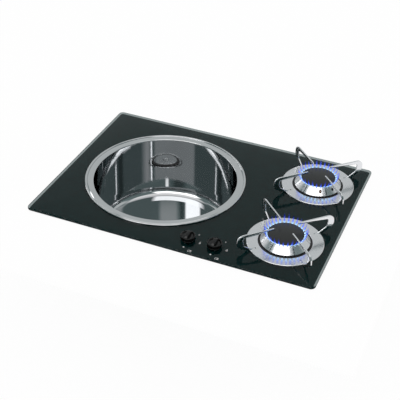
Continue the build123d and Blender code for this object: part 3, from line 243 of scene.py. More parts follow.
def gridFaces(rows, columns, wrapRows=False, wrapColumns=False):
    # Quads between neighbouring rows and columns of a grid of points, taken row by row
    r = np.arange(rows if wrapRows else rows - 1)[:, None]
    c = np.arange(columns if wrapColumns else columns - 1)[None, :]
    r2, c2 = (r + 1) % rows, (c + 1) % columns
    corners = [r * columns + c, r2 * columns + c, r2 * columns + c2, r * columns + c2]
    return np.stack(np.broadcast_arrays(*corners), axis=-1).reshape(-1, 4)


def makeMesh(name, points, faces, extra=(), sharp=32.0):
    mesh = bpy.data.meshes.new(name)
    places = np.asarray(points).reshape(-1, 3) * mm
    mesh.from_pydata(places.tolist(), [], [list(face) for face in faces] + list(extra))
    build = bmesh.new()
    build.from_mesh(mesh)
    bmesh.ops.remove_doubles(build, verts=build.verts, dist=2e-6)
    bmesh.ops.dissolve_degenerate(build, edges=build.edges, dist=1e-7)
    bmesh.ops.recalc_face_normals(build, faces=build.faces)
    build.to_mesh(mesh)
    build.free()
    mesh.shade_smooth()
    mesh.set_sharp_from_angle(angle=radians(sharp))
    piece = bpy.data.objects.new(name, mesh)
    bpy.context.scene.collection.objects.link(piece)
    return piece


def heldRuns(line, closed=True, hold=0.6):
    # Two more points on each long run, a little way in from its ends, keep its shading flat
    ahead = np.roll(line, -1, axis=0) - line
    length = np.linalg.norm(ahead, axis=1)[:, None] + 1e-9
    spread = np.stack([line, line + ahead * hold / length, line + ahead * (1 - hold / length)], axis=1)
    wanted = np.repeat(length > 4 * hold, 3, axis=1)
    wanted[:, 0] = True
    if not closed:
        wanted[-1, 1:] = False
    return spread[wanted]


def turned(name, profile, centre, count=180, closed=True, sharp=32.0):
    # Surface of revolution: x = cx + r cos t, y = cy + r sin t, for each (r, z) of the profile and all t
    profile = heldRuns(profile, closed)
    angles = np.linspace(0, 2 * pi, count, endpoint=False)
    r, z = profile[:, 0, None], profile[:, 1, None]
    x, y = centre[0] + r * np.cos(angles), centre[1] + r * np.sin(angles)
    points = np.stack([x, y, z + 0 * angles], axis=-1)
    return makeMesh(name, points, gridFaces(len(profile), count, closed, True), sharp=sharp)


def bladeOf(name, outline, centre, angle, half, edge, steps=3, sharp=32.0):
    # Flat blade on edge: the outline (distance out, height) is carried across the thickness. Near both faces
    # it is drawn in by edge * (1 - cos a) while it goes across by edge * sin a, for a rounded edge
    ahead = np.roll(outline, -1, axis=0) - np.roll(outline, 1, axis=0)
    ahead /= np.linalg.norm(ahead, axis=1)[:, None] + 1e-12
    inward = np.stack([-ahead[:, 1], ahead[:, 0]], axis=1)
    area = (outline[:, 0] * np.roll(outline[:, 1], -1) - np.roll(outline[:, 0], -1) * outline[:, 1]).sum()
    inward *= np.sign(area)
    arc = np.linspace(0, pi / 2, steps + 1)
    across = np.concatenate([-(half - edge) - edge * np.sin(arc[::-1]), (half - edge) + edge * np.sin(arc)])
    drawn = np.concatenate([edge * (1 - np.cos(arc[::-1])), edge * (1 - np.cos(arc))])
    flat = outline[None] + inward[None] * drawn[:, None, None]
    out, up = flat[..., 0], flat[..., 1]
    side = across[:, None] + 0 * out
    c, s = cos(radians(angle)), sin(radians(angle))
    points = np.stack([centre[0] + out * c - side * s, centre[1] + out * s + side * c, up], axis=-1)
    rows, columns = out.shape
    caps = [list(range(columns))[::-1], list(range((rows - 1) * columns, rows * columns))]
    return makeMesh(name, points, gridFaces(rows, columns, False, True), caps, sharp=sharp)


def plateOf(name, outline, foot, top, edge=0.0, steps=4, sharp=32.0):
    # Level slab: the outline (x, y) is carried upwards. Near both faces it is drawn in by edge * (1 - cos a)
    # at the height edge * (1 - sin a) from the face, along a quarter circle
    ahead = np.roll(outline, -1, axis=0) - np.roll(outline, 1, axis=0)
    ahead /= np.linalg.norm(ahead, axis=1)[:, None] + 1e-12
    inward = np.stack([-ahead[:, 1], ahead[:, 0]], axis=1)
    area = (outline[:, 0] * np.roll(outline[:, 1], -1) - np.roll(outline[:, 0], -1) * outline[:, 1]).sum()
    inward *= np.sign(area)
    arc = np.linspace(0, pi / 2, steps + 1)
    heights = np.concatenate([foot + edge * (1 - np.sin(arc[::-1])), top - edge * (1 - np.sin(arc))])
    drawn = np.concatenate([edge * (1 - np.cos(arc[::-1])), edge * (1 - np.cos(arc))])
    flat = outline[None] + inward[None] * drawn[:, None, None]
    points = np.concatenate([flat, heights[:, None, None] + 0 * flat[..., :1]], axis=-1)
    rows, columns = flat.shape[:2]
    caps = [list(range(columns))[::-1], list(range((rows - 1) * columns, rows * columns))]
    return makeMesh(name, points, gridFaces(rows, columns, False, True), caps, sharp=sharp)


def roundedBox(width, depth, radius, steps=10, at=(0.0, 0.0)):
    # Outline of a rectangle about a place, each corner an arc of the radius
    x, y = width / 2, depth / 2
    corners = [(-x, -y), (x, -y), (x, y), (-x, y)]
    return softLoop(corners, [radius] * 4, steps) + np.array(at)


def ringOf(radius, count=48, at=(0.0, 0.0)):
    # Circle about a place: x = ax + radius * cos t and y = ay + radius * sin t
    angles = np.linspace(0, 2 * pi, count, endpoint=False)
    return np.stack([at[0] + radius * np.cos(angles), at[1] + radius * np.sin(angles)], axis=1)


def turnedOutline(outline, angle, at):
    # An outline turned by an angle about its own zero and set down at a place
    c, s = cos(radians(angle)), sin(radians(angle))
    return outline @ np.array([[c, s], [-s, c]]) + np.array(at)


def carve(piece, cutters, sharp=32.0):
    # Takes the cutters' solids out of the piece and keeps the result as its mesh
    for cutter in cutters:
        step = piece.modifiers.new("cut", "BOOLEAN")
        step.operation = "DIFFERENCE"
        step.solver = "EXACT"
        step.object = cutter
    cut = bpy.data.meshes.new_from_object(piece.evaluated_get(bpy.context.evaluated_depsgraph_get()))
    piece.modifiers.clear()
    piece.data = cut
    cut.shade_smooth()
    cut.set_sharp_from_angle(angle=radians(sharp))
    for cutter in cutters:
        bpy.data.objects.remove(cutter)
    return piece


def joined(name, pieces):
    # One mesh of several shapes
    build = bmesh.new()
    for piece in pieces:
        build.from_mesh(piece.data)
    mesh = bpy.data.meshes.new(name)
    build.to_mesh(mesh)
    build.free()
    mesh.shade_smooth()
    mesh.set_sharp_from_angle(angle=radians(32))
    for piece in pieces:
        bpy.data.objects.remove(piece)
    whole = bpy.data.objects.new(name, mesh)
    bpy.context.scene.collection.objects.link(whole)
    return whole


def finished(piece, finish, body, slot, *nodes):
    # Gives a piece its finish and the body it rides on, and hides the CAD nodes it stands for
    piece.data.materials.clear()
    piece.data.materials.append(finish.material)
    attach(piece, body)
    if nodes:
        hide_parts(*nodes)
    return piece


# Finishes
steelLook = dict(stain=14.0, scratch=260.0, stainShare=0.7, darker=0.93, along=12.0, lineHeight=0.0008,
                 waveScale=9.0, bump=0.6)
plasticLook = dict(stain=30.0, darker=0.8, roughSpread=0.12)


def steelFinish(name, colour, rough, spread, centre=None, grain=900.0, wave=0.0):
    # Bare or polished steel: fine lines round a centre or plain grain, with slow stains and handling marks
    finish = Finish(name, Metallic=1.0)
    slow = finish.noise(steelLook["stain"], 4.0)
    fine = finish.noise(steelLook["scratch"], 2.0)
    if centre is None:
        stretch = (grain, steelLook["along"], grain)
        place = finish.add("ShaderNodeMapping", {}, {"Vector": finish.place, "Scale": stretch})
    else:
        radius, height = finish.radius(centre)
        place = finish.add("ShaderNodeCombineXYZ", {}, {0: radius * grain, 1: height * grain, 2: 0.0})
    lines = finish.noise(1.0, 2.0, at=place)
    stains = slow * steelLook["stainShare"] + fine * (1 - steelLook["stainShare"])
    darker = tuple(c * steelLook["darker"] for c in colour)
    finish.put("Base Color", finish.ramp(stains, (0.25, darker), (0.75, colour)))
    finish.put("Roughness", rough + (slow - 0.5) * spread + (lines - 0.5) * spread)
    height = lines * steelLook["lineHeight"]
    if wave:
        height = height + finish.noise(steelLook["waveScale"], 1.0) * wave
    finish.bump(height, 1.0, steelLook["bump"])
    return finish


def plasticFinish(name, colour, rough, bump=0.01, scale=1400.0):
    # Plastic, rubber or enamel: slow stains, and a fine grain that is bump millimetres deep
    finish = Finish(name)
    slow = finish.noise(plasticLook["stain"], 3.0)
    grain = finish.noise(scale, 2.0)
    darker = tuple(c * plasticLook["darker"] for c in colour)
    finish.put("Base Color", finish.ramp(slow, (0.3, darker), (0.7, colour)))
    finish.put("Roughness", rough + (slow - 0.5) * plasticLook["roughSpread"])
    finish.bump(grain, bump)
    return finish


polishedSteel = steelFinish("polishedSteel", (0.60, 0.61, 0.62), 0.045, 0.02, sinkAt, 900.0, 0.035)
wasteSteel = steelFinish("wasteSteel", (0.68, 0.69, 0.70), 0.14, 0.06, sinkAt)
plateSteel = {place: steelFinish(place + "PlateSteel", (0.76, 0.76, 0.78), 0.20, 0.06, at, 1200.0)
              for place, at in burnersAt.items()}
armChrome = steelFinish("armChrome", (0.80, 0.81, 0.83), 0.12, 0.05)
crownAluminium = {place: steelFinish(place + "CrownAluminium", (0.78, 0.78, 0.80), 0.24, 0.06, at, 1500.0)
                  for place, at in burnersAt.items()}
castAluminium = steelFinish("castAluminium", (0.46, 0.47, 0.48), 0.48, 0.15)
pressedSteel = steelFinish("pressedSteel", (0.40, 0.41, 0.42), 0.38, 0.18)
dullSteel = steelFinish("dullSteel", (0.34, 0.35, 0.36), 0.34, 0.14, sinkAt)
platedSteel = steelFinish("platedSteel", (0.58, 0.57, 0.52), 0.32, 0.15)
pipeAluminium = steelFinish("pipeAluminium", (0.70, 0.71, 0.72), 0.30, 0.12)
brassMetal = steelFinish("brassMetal", (0.72, 0.53, 0.25), 0.28, 0.14)
leadMetal = steelFinish("leadMetal", (0.55, 0.34, 0.24), 0.34, 0.14)
capEnamel = plasticFinish("capEnamel", (0.006, 0.007, 0.007), 0.30, 0.002, 500.0)
knobPlastic = plasticFinish("knobPlastic", (0.003, 0.003, 0.003), 0.10, 0.001, 900.0)
knobPlastic.put("Specular IOR Level", 0.3)
blackRubber = plasticFinish("blackRubber", (0.018, 0.018, 0.018), 0.62, 0.03)
foamRubber = plasticFinish("foamRubber", (0.02, 0.02, 0.02), 0.85, 0.12, 900.0)
greySilicone = plasticFinish("greySilicone", (0.16, 0.16, 0.17), 0.45, 0.02)
whitePlastic = plasticFinish("whitePlastic", (0.78, 0.78, 0.75), 0.38, 0.02)
markEnamel = plasticFinish("markEnamel", (0.75, 0.76, 0.76), 0.45, 0.01)

glassClear = Finish("glassClear", Base_Color=(0.24, 0.28, 0.28), Transmission_Weight=1.0, IOR=1.29)
glassClear.put("Roughness", glassClear.noise(5.0, 3.0).between(0.35, 0.8) * 0.012 + 0.012)
glassEnamelBlack = Finish("glassEnamelBlack", Specular_IOR_Level=0.0)
glassEnamelBlack.put("Base Color", glassEnamelBlack.ramp(
    glassEnamelBlack.noise(40.0), (0.3, (0.002, 0.044, 0.044)), (0.7, (0.004, 0.056, 0.056))))
glassEnamelBlack.put("Roughness", 0.7 + glassEnamelBlack.noise(30.0) * 0.2)
print("finishes made")

# Glass top: clear slab with a rounded polished edge, black enamel laid just inside its lower face
glass = dict(width=600.0, depth=420.0, corner=10.0, edge=1.8, sinkHole=153.4, burnerHole=50.0, tapHole=9.0,
             enamelInset=4.5, enamelBack=1.0, enamelLift=0.03, enamelThick=0.04)


def glassHoles(foot, top, grow=0.0):  # cutters for all five holes
    holes = [(sinkAt, glass["sinkHole"], 256)]
    holes += [(at, glass["burnerHole"], 128) for at in burnersAt.values()]
    holes += [(at, glass["tapHole"], 48) for at in knobsAt.values()]
    return [plateOf("hole", ringOf(radius + grow, count, at), foot, top) for at, radius, count in holes]


glassOutline = roundedBox(glass["width"], glass["depth"], glass["corner"], 12)
glassTop = plateOf("glassTop", glassOutline, glassFoot, glassFace, glass["edge"], 6)
carve(glassTop, glassHoles(glassFoot - past, glassFace + past))
finished(glassTop, glassClear, "unit", "enamelled_glass", "glass_top")
inset = glass["enamelInset"]
enamelOutline = roundedBox(glass["width"] - 2 * inset, glass["depth"] - 2 * inset, glass["corner"] - inset, 8)
enamelFoot = glassFoot + glass["enamelLift"]
glassEnamel = plateOf("glassEnamel", enamelOutline, enamelFoot, enamelFoot + glass["enamelThick"])
carve(glassEnamel, glassHoles(0.0, glassFace, glass["enamelBack"]))
finished(glassEnamel, glassEnamelBlack, "unit", "enamelled_glass")
print("glass made")

# Sink bowl: one sheet from the rolled lip to the waste hole
bowl = dict(rim=168.0, lipWidth=4.6, lipHeight=3.4, lipRound=1.9, lipFoot=0.2, sealThick=0.4, grooveBend=0.2,
            band=2.3, bandFall=0.3, bandBend=0.3, radius=149.5, depth=140.0, draft=1.0, edge=2.2, corner=17.0,
            fall=2.0, sheet=0.9, ring=119.0, ringFall=1.5, ringBend=40.0, recess=32.0, recessDepth=2.4,
            recessEdge=1.0, recessBend=0.3, wasteHole=25.0)
floorZ = glassFace - bowl["depth"]
recessTop = floorZ - bowl["fall"]
recessZ = recessTop - bowl["recessDepth"]
bowlLine = [
    (bowl["rim"], glassFace + bowl["lipFoot"]),
    (bowl["rim"], glassFace + bowl["lipHeight"]),
    (bowl["rim"] - bowl["lipWidth"], glassFace + bowl["lipHeight"]),
    (bowl["rim"] - bowl["lipWidth"], glassFace + bowl["sealThick"] + bowl["sheet"]),
    (bowl["rim"] - bowl["lipWidth"] - 2 * bowl["sheet"], glassFace + bowl["band"]),
    (bowl["radius"], glassFace + bowl["band"] - bowl["bandFall"]),
    (bowl["radius"] - bowl["depth"] * tan(radians(bowl["draft"])), floorZ),
    (bowl["ring"], floorZ - bowl["ringFall"]),
    (bowl["recess"] + bowl["recessDepth"], recessTop),
    (bowl["recess"], recessZ),
    (bowl["wasteHole"], recessZ),
]
bowlBends = [bowl[key] for key in ("lipRound", "lipRound", "grooveBend", "bandBend", "edge", "corner",
                                   "ringBend", "recessEdge", "recessBend")]
sinkBowl = turned("sinkBowl", sheetLoop(bowlLine, bowlBends, bowl["sheet"], 10), sinkAt, 256)
finished(sinkBowl, polishedSteel, "unit", "bowl_steel", "sink_bowl")
# The bowl's outside stays dull from the press: faces under the glass that look away from a point in the bowl
sinkBowl.data.materials.append(dullSteel.material)
middles, normals = np.zeros((2, len(sinkBowl.data.polygons), 3))
sinkBowl.data.polygons.foreach_get("center", middles.ravel())
sinkBowl.data.polygons.foreach_get("normal", normals.ravel())
inside = np.array((*sinkAt, floorZ / 2)) * mm
outside = (((middles - inside) * normals).sum(1) > 0) & (middles[:, 2] < glassFoot * mm)
sinkBowl.data.polygons.foreach_set("material_index", outside.astype(np.int32))

# Waste flange with its strainer floor, and the plug in two pieces
waste = dict(flange=31.0, well=23.3, sheet=1.2, gasket=0.8, depth=13.0, screw=2.55, mouthBend=1.5,
             footBend=2.5)
flangeZ = recessZ + waste["gasket"] + waste["sheet"]
wellLine = [(waste["flange"], flangeZ), (waste["well"], flangeZ), (waste["well"], flangeZ - waste["depth"]),
            (waste["screw"], flangeZ - waste["depth"])]
wellBends = [waste["mouthBend"], waste["footBend"]]
wasteFlange = turned("wasteFlange", sheetLoop(wellLine, wellBends, waste["sheet"], 8), sinkAt, 128)
finished(wasteFlange, wasteSteel, "unit", "waste_steel", "waste_flange")

plug = dict(lip=2.5, lipRadius=28.5, lipEdge=1.0, lipFoot=0.6, neckGap=0.5, neckBend=0.5, footGap=1.5,
            footBend=1.5, screwGap=2.9, sheet=1.2, sheetFoot=0.3, sheetEdge=0.5, stem=3.5, stemRise=1.8,
            stemBend=1.5, grip=7.0, gripHeight=6.0, gripEdge=1.2, flat=5.0, gap=0.2)
plugZ = flangeZ + plug["gap"]
plugBottom = flangeZ - waste["depth"] + plug["screwGap"]
plugTopZ = plugZ + plug["lip"]
gripZ = plugTopZ + plug["gripHeight"]
sealBends = [plug[key] for key in ("lipEdge", "lipFoot", "neckBend", "footBend")]
sealLine = np.concatenate([[(0, plugTopZ)], softLine([
    (plug["flat"], plugTopZ), (plug["lipRadius"], plugTopZ), (plug["lipRadius"], plugZ),
    (waste["well"] - plug["neckGap"], plugZ), (waste["well"] - plug["footGap"], plugBottom),
    (0.0, plugBottom)], sealBends)])
plugSeal = turned("plugSeal", sealLine, sinkAt, 96)
finished(plugSeal, blackRubber, "sink_plug", "black_rubber", "plug_seal")
gripBends = [plug[key] for key in ("sheetFoot", "sheetEdge", "stemBend", "gripEdge")]
gripLine = np.concatenate([[(0, plugTopZ)], softLine([
    (plug["flat"], plugTopZ), (waste["well"], plugTopZ), (waste["well"], plugTopZ + plug["sheet"]),
    (plug["stem"], plugTopZ + plug["stemRise"]), (plug["grip"], gripZ), (0.0, gripZ)], gripBends)])
plugTop = turned("plugTop", gripLine, sinkAt, 96)
finished(plugTop, wasteSteel, "sink_plug", "waste_steel", "plug_top")
print("sink made")

# Burners
support = dict(plate=75.0, hole=52.0, sheet=1.2, height=2.2, bend=1.6, slotWidth=3.0, slotStart=61.5,
               armHalf=1.3, armEdge=0.35, armTop=39.0, armBar=7.2, tipBar=3.8, tip=26.0, tipSlope=1.0,
               reach=103.0, endWidth=12.0, endTaper=2.5, knee=15.0, kneeDrop=1.5, heel=79.5, foot=63.0,
               instep=69.5, gap=0.2, slotCorner=1.49, arms=4, firstArm=45.0,
               bends=(1.2, 13.5, 12.0, 1.0, 0.5, 0.5, 2.0, 7.0, 5.0, 1.0))
head = dict(tubeInner=30.9, tubeOuter=33.3, tubeFoot=6.0, neck=34.5, neckBevel=0.3, neckRound=0.1, foot=48.0,
            footHeight=4.4, footEdge=0.5, footBevel=0.4, height=18.2, under=10.6, wall=2.4, ports=30,
            firstPort=5.0, portWidth=1.8, portLength=9.6, portDepth=3.0, slits=6, slitWidth=1.2,
            firstSlit=10.0, holeCircle=41.0, hole=2.7, sensorAngle=dict(front=113.0, rear=-67.0),
            secondHole=39.0)
cover = dict(radius=35.3, edge=0.5, bevel=0.3, step=1.0, rim=1.6, dome=3.0, gap=0.1)
crownTop = glassFace + head["height"]
crownFoot = glassFace + head["footHeight"]
skirtFall = (crownTop - crownFoot) / (head["foot"] - head["neck"])
skirtDrop = head["wall"] * sqrt(1 + skirtFall ** 2)
skirtJoin = crownTop - (head["tubeOuter"] - head["neck"]) * skirtFall - skirtDrop
footInner = head["tubeOuter"] + (skirtJoin - head["under"]) / skirtFall

armFoot = glassFace + support["gap"]
armPlate = glassFace + support["height"] - support["gap"]
armTop = glassFace + support["armTop"]
armInner = support["reach"] - support["endWidth"]
armOutline = softLoop([
    (support["tip"], armTop), (support["reach"], armTop), (support["reach"], glassFace + support["knee"]),
    (support["heel"], armFoot), (support["foot"], armFoot), (support["foot"], armPlate),
    (support["instep"], armPlate),
    (armInner - support["endTaper"], glassFace + support["knee"] - support["kneeDrop"]),
    (armInner, armTop - support["armBar"]),
    (support["tip"] - support["tipSlope"], armTop - support["tipBar"])], support["bends"], 10)
plateTop = glassFace + support["height"]
plateLine = [(support["plate"], armFoot), (support["plate"], plateTop), (support["hole"], plateTop),
             (support["hole"], armFoot)]
crownLine = np.array([
    (head["tubeInner"], head["tubeFoot"]), (head["tubeOuter"], head["tubeFoot"]),
    (head["tubeOuter"], skirtJoin), (footInner, head["under"]), (head["foot"], head["under"]),
    (head["foot"], crownFoot - head["footEdge"]), (head["foot"] - head["footBevel"], crownFoot),
    (head["neck"] + head["neckBevel"], crownTop - head["neckBevel"]),
    (head["neck"] - head["neckRound"], crownTop), (head["tubeInner"], crownTop)])

# The cap's top is a quadratic curve: rim * (1 - t)^2 + shoulder * 2 t (1 - t) + middle * t^2, t from 0 to 1
coverFoot = crownTop + cover["gap"]
coverRim = coverFoot + cover["rim"]
coverTop = coverRim + cover["dome"]
rim, shoulder, middle = np.array([
    (cover["radius"] - cover["edge"], coverRim), (cover["radius"] / 2, coverTop), (0.0, coverTop)])
t = np.linspace(0, 1, 14)[:, None]
coverLine = np.concatenate([
    [(0.0, coverFoot + cover["rim"] / 2), (head["tubeInner"] - head["wall"], coverFoot + cover["rim"] / 2),
     (head["tubeInner"] - cover["step"], coverFoot), (cover["radius"] - cover["bevel"], coverFoot),
     (cover["radius"], coverFoot + cover["bevel"]), (cover["radius"], coverRim - cover["edge"])],
    (1 - t) ** 2 * rim + 2 * t * (1 - t) * shoulder + t ** 2 * middle])
unitBox = np.array([(-0.5, -0.5), (0.5, -0.5), (0.5, 0.5), (-0.5, 0.5)])


def onCircle(at, angle, circle):  # the place at an angle in degrees on a circle about another place
    return at[0] + circle * cos(radians(angle)), at[1] + circle * sin(radians(angle))


for place, at in burnersAt.items():
    rides = place + "_pan_support"
    armAngles = [support["firstArm"] + 360 / support["arms"] * i for i in range(support["arms"])]
    plateSection = sheetLoop(plateLine, [support["bend"]] * 2, support["sheet"], 6)
    plate = turned(place + "PanPlate", plateSection, at, 180)
    slotLong = support["plate"] - support["slotStart"] + support["slotWidth"]
    slot = roundedBox(slotLong, support["slotWidth"], support["slotCorner"], 8)
    slot[:, 0] += support["slotStart"] + slotLong / 2
    carve(plate, [plateOf("slot", turnedOutline(slot, angle, at), glassFace - past, plateTop + past)
                  for angle in armAngles])
    finished(plate, plateSteel[place], rides, "plate_steel", place + "_pan_plate")
    for number, angle in enumerate(armAngles, start=1):
        arm = bladeOf(f"{place}PanArm{number}", armOutline, at, angle, support["armHalf"], support["armEdge"])
        finished(arm, armChrome, rides, "arm_chrome", f"{place}_pan_arm_{number}")

    crown = turned(place + "BurnerCrown", crownLine, at, 240)
    portAngles = head["firstPort"] + 360 / head["ports"] * np.arange(head["ports"])
    port = unitBox * (head["portLength"], head["portWidth"])
    port[:, 0] += (head["tubeInner"] + head["neck"]) / 2
    slitAngles = head["firstSlit"] + 360 / head["slits"] * np.arange(head["slits"])
    slitStart = head["neck"] + 1.5 * head["wall"]
    slitLong = head["foot"] - head["neck"] - head["wall"] / 2
    slit = unitBox * (slitLong, head["slitWidth"])
    slit[:, 0] += slitStart + slitLong / 2
    holeAngles = [head["sensorAngle"][place], head["sensorAngle"][place] + head["secondHole"]]
    underneath, above = head["under"] - past, crownTop + past
    ports = [plateOf("port", turnedOutline(port, angle, at), crownTop - head["portDepth"], above)
             for angle in portAngles]
    slits = [plateOf("slit", turnedOutline(slit, angle, at), underneath, above) for angle in slitAngles]
    holes = [plateOf("hole", ringOf(head["hole"], 32, onCircle(at, angle, head["holeCircle"])),
                     underneath, above) for angle in holeAngles]
    cutters = [joined("ports", ports), joined("slits", slits), *holes]
    carve(crown, cutters, 24.0)
    finished(crown, crownAluminium[place], place + "_burner_head", "crown_aluminium", place + "_burner_crown")

    cap = turned(place + "BurnerCap", coverLine, at, 128)
    finished(cap, capEnamel, place + "_burner_head", "cap_enamel", place + "_burner_cap")
print("burners made")

# Knobs: a dished disc with a fin across it
knob = dict(radius=14.6, wall=1.8, rise=3.6, height=10.3, dish=2.2, dishRadius=12.6, hub=5.4, hubFoot=11.9,
            bore=3.05, bends=(0.05, 1.0, 0.5, 0.8, 0.4, 0.2, 0.8, 0.5, 0.2, 0.1), finHeight=15.0,
            finWidth=7.6, finReach=12.8, finRoot=1.0, finRound=1.6, finBends=(0.2, 2.0, 8.0, 8.0, 2.0, 0.2))
knobTop = glassFace + knob["height"]
dishZ = knobTop - knob["dish"]
knobLine = softLoop([
    (knob["bore"], dishZ), (knob["dishRadius"] - knob["dish"], dishZ), (knob["dishRadius"], knobTop),
    (knob["radius"], knobTop), (knob["radius"], glassFace + knob["rise"]),
    (knob["radius"] - knob["wall"], glassFace + knob["rise"]),
    (knob["radius"] - knob["wall"], dishZ - knob["wall"]), (knob["hub"], dishZ - knob["wall"]),
    (knob["hub"], knob["hubFoot"]), (knob["bore"], knob["hubFoot"])], knob["bends"], 6)
finFoot = dishZ - knob["finRoot"]
finTop = glassFace + knob["finHeight"]
finOutline = softLoop([
    (-knob["finReach"], finFoot), (-knob["finReach"], knobTop), (-knob["finWidth"], finTop),
    (knob["finWidth"], finTop), (knob["finReach"], knobTop), (knob["finReach"], finFoot)],
    knob["finBends"], 8)
for side, at in knobsAt.items():
    disc = turned(side + "Disc", knobLine, at, 96)
    fin = bladeOf(side + "Fin", finOutline, at, 90.0, knob["finWidth"] / 2, knob["finRound"], 5)
    handle = joined(side + "Knob", [disc, fin])
    finished(handle, knobPlastic, side + "_control", "knob_plastic", side + "_knob")
print("knobs made")

# Marks printed on the glass round each knob: an off dot, a large and a small flame, and which burner it works
marks = dict(circle=26.0, ink=0.04, dot=1.5, dotAngle=-85.0, large=(4.2, 6.2), largeInner=(2.88, 4.22),
             largeAngle=-3.0, small=(2.6, 3.8), smallInner=(1.72, 2.37), smallAngle=55.0, hob=(7.2, 5.2),
             hobInner=(6.1, 4.1), hobCircle=37.0, hobAngle=-62.0, spot=(1.6, 1.178), bigSpot=1.1,
             smallSpot=0.495)


def flameOutline(width, height, count=40):
    # Teardrop with its point at t = 0: x = 0.65 * width * sin t * |sin(t / 2)|^1.5, y = half height * cos t
    t = np.linspace(0, 2 * pi, count, endpoint=False)
    return np.stack([0.65 * width * np.sin(t) * np.abs(np.sin(t / 2)) ** 1.5, height / 2 * np.cos(t)], axis=1)


def printed(outline, at, inner=None):  # a thin film of ink on the glass, open inside the inner outline
    ink = plateOf("ink", outline + np.array(at), glassFace, glassFace + marks["ink"])
    if inner is not None:
        carve(ink, [plateOf("inner", inner + np.array(at), glassFace - past, glassFace + past)])
    return ink


inkShapes = []
for side, at in knobsAt.items():
    inkShapes.append(printed(ringOf(marks["dot"], 24), onCircle(at, marks["dotAngle"], marks["circle"])))
    for size in ("large", "small"):
        flameAt = onCircle(at, marks[size + "Angle"], marks["circle"])
        inkShapes.append(printed(flameOutline(*marks[size]), flameAt, flameOutline(*marks[size + "Inner"])))
    hobAt = onCircle(at, marks["hobAngle"], marks["hobCircle"])
    inkShapes.append(printed(roundedBox(*marks["hob"], 0.8, 4), hobAt,
                             roundedBox(*marks["hobInner"], 0.4, 4)))
    out, aside = marks["spot"]
    for way, works in ((1, side == "left"), (-1, side == "right")):
        spot = ringOf(marks["bigSpot" if works else "smallSpot"], 20)
        inkShapes.append(printed(spot, (hobAt[0] + out, hobAt[1] + way * aside)))
glassMarks = joined("glassMarks", inkShapes)
finished(glassMarks, markEnamel, "unit", "enamelled_glass")
print("marks made")

# Every CAD node that still shows gets its finish
nodeFinish = dict(
    jack_screws=platedSteel, waste_gasket=blackRubber, lower_gasket=blackRubber, waste_body=whitePlastic,
    waste_screw=platedSteel, hob_tray=pressedSteel, side_rail=pressedSteel, bonding_seals=greySilicone,
    rim_seal=greySilicone, worktop_seal=foamRubber, worktop_clips=pressedSteel, pan_head_screws=platedSteel,
    bowl_hoop=pressedSteel, burner_seals=blackRubber, jets=brassMetal, holder_nuts=platedSteel,
    knob_bezels=blackRubber, tap_bracket=pressedSteel, tap_screws=platedSteel, rail_clamps=pressedSteel,
    gas_rail=pipeAluminium, inlet_elbow=brassMetal, pipe_nuts=brassMetal)
endFinish = dict(_burner_cup=castAluminium, _burner_bridge=pressedSteel, _jet_holder=castAluminium,
                 _tap_body=brassMetal, _spindle=platedSteel, _push_pin=brassMetal, _burner_pipe=pipeAluminium,
                 _flame_sensor=leadMetal)
for name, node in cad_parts.items():
    finish = nodeFinish.get(name)
    for end, other in endFinish.items():
        finish = other if name.endswith(end) else finish
    if finish and not node.hide_render:
        node.data.materials.clear()
        node.data.materials.append(finish.material)
print("carried nodes finished")

# Stage: pale floor below, and a thin white worktop with the cut-out that the unit hangs in
ground = dict(size=9000.0, corner=100.0, thick=5.0, gap=0.2)
card = dict(left=-345.0, right=420.0, front=-385.0, back=255.0, corner=2.0, thick=3.0, gap=0.02,
            cutWidth=580.0, cutDepth=400.0, cutCorner=8.0, cutReach=9.0, glow=0.96)
stageWhite = Finish("stageWhite", Base_Color=(0.86, 0.86, 0.86), Roughness=0.9)
seen = stageWhite.ray("Camera").most(stageWhite.ray("Glossy")).most(stageWhite.ray("Transmission"))
plainWhite = stageWhite.add("ShaderNodeEmission", {}, {"Color": (1.0, 1.0, 1.0), "Strength": 1.0})
lit = Signal(stageWhite, stageWhite.shader.outputs[0])
stageWhite.show(stageWhite.blend(seen * card["glow"], lit, plainWhite))
floorTop = cadBounds[0][2] / mm - ground["gap"]
floorOutline = roundedBox(ground["size"], ground["size"], ground["corner"])
floor = plateOf("stageFloor", floorOutline, floorTop - ground["thick"], floorTop)
cardMiddle = ((card["left"] + card["right"]) / 2, (card["front"] + card["back"]) / 2)
cardWidth, cardDepth = card["right"] - card["left"], card["back"] - card["front"]
cardOutline = roundedBox(cardWidth, cardDepth, card["corner"], at=cardMiddle)
worktop = plateOf("stageWorktop", cardOutline, -card["thick"], -card["gap"])
cutOutline = roundedBox(card["cutWidth"], card["cutDepth"], card["cutCorner"])
carve(worktop, [plateOf("cutout", cutOutline, -card["cutReach"], card["cutReach"])])
for stagePiece in (floor, worktop):
    stagePiece.data.materials.append(stageWhite.material)

# Flames: one petal at each port, part of the picture and not of the hob
flame = dict(root=34.2, foot=-1.6, out=8.5, rise=19.0, width=3.6, flat=0.6, strength=1.5,
             swing=(0.16, 0.10), rows=14, sides=10)
flameFinish = Finish("flameFinish")
flameHeight = (flameFinish.parts(flameFinish.place)[2] / mm - (crownTop + flame["foot"])) / flame["rise"]
flameColour = flameFinish.ramp(flameHeight, (0.0, (0.72, 0.92, 1.0)), (0.12, (0.36, 0.66, 1.0)),
                               (0.30, (0.05, 0.12, 0.90)), (0.85, (0.010, 0.02, 0.42)))
flameBody = flameFinish.ramp(flameHeight, (0.0, (0.95,) * 3), (0.14, (0.72,) * 3), (0.40, (0.36,) * 3),
                             (0.98, (0.06,) * 3))
flameGlow = flameFinish.add("ShaderNodeEmission", {}, {"Color": flameColour, "Strength": flame["strength"]})
flameClear = flameFinish.add("ShaderNodeBsdfTransparent", {}, {"Color": (1.0, 1.0, 1.0)})
flameFinish.show(flameFinish.blend(flameBody, flameClear, flameGlow))
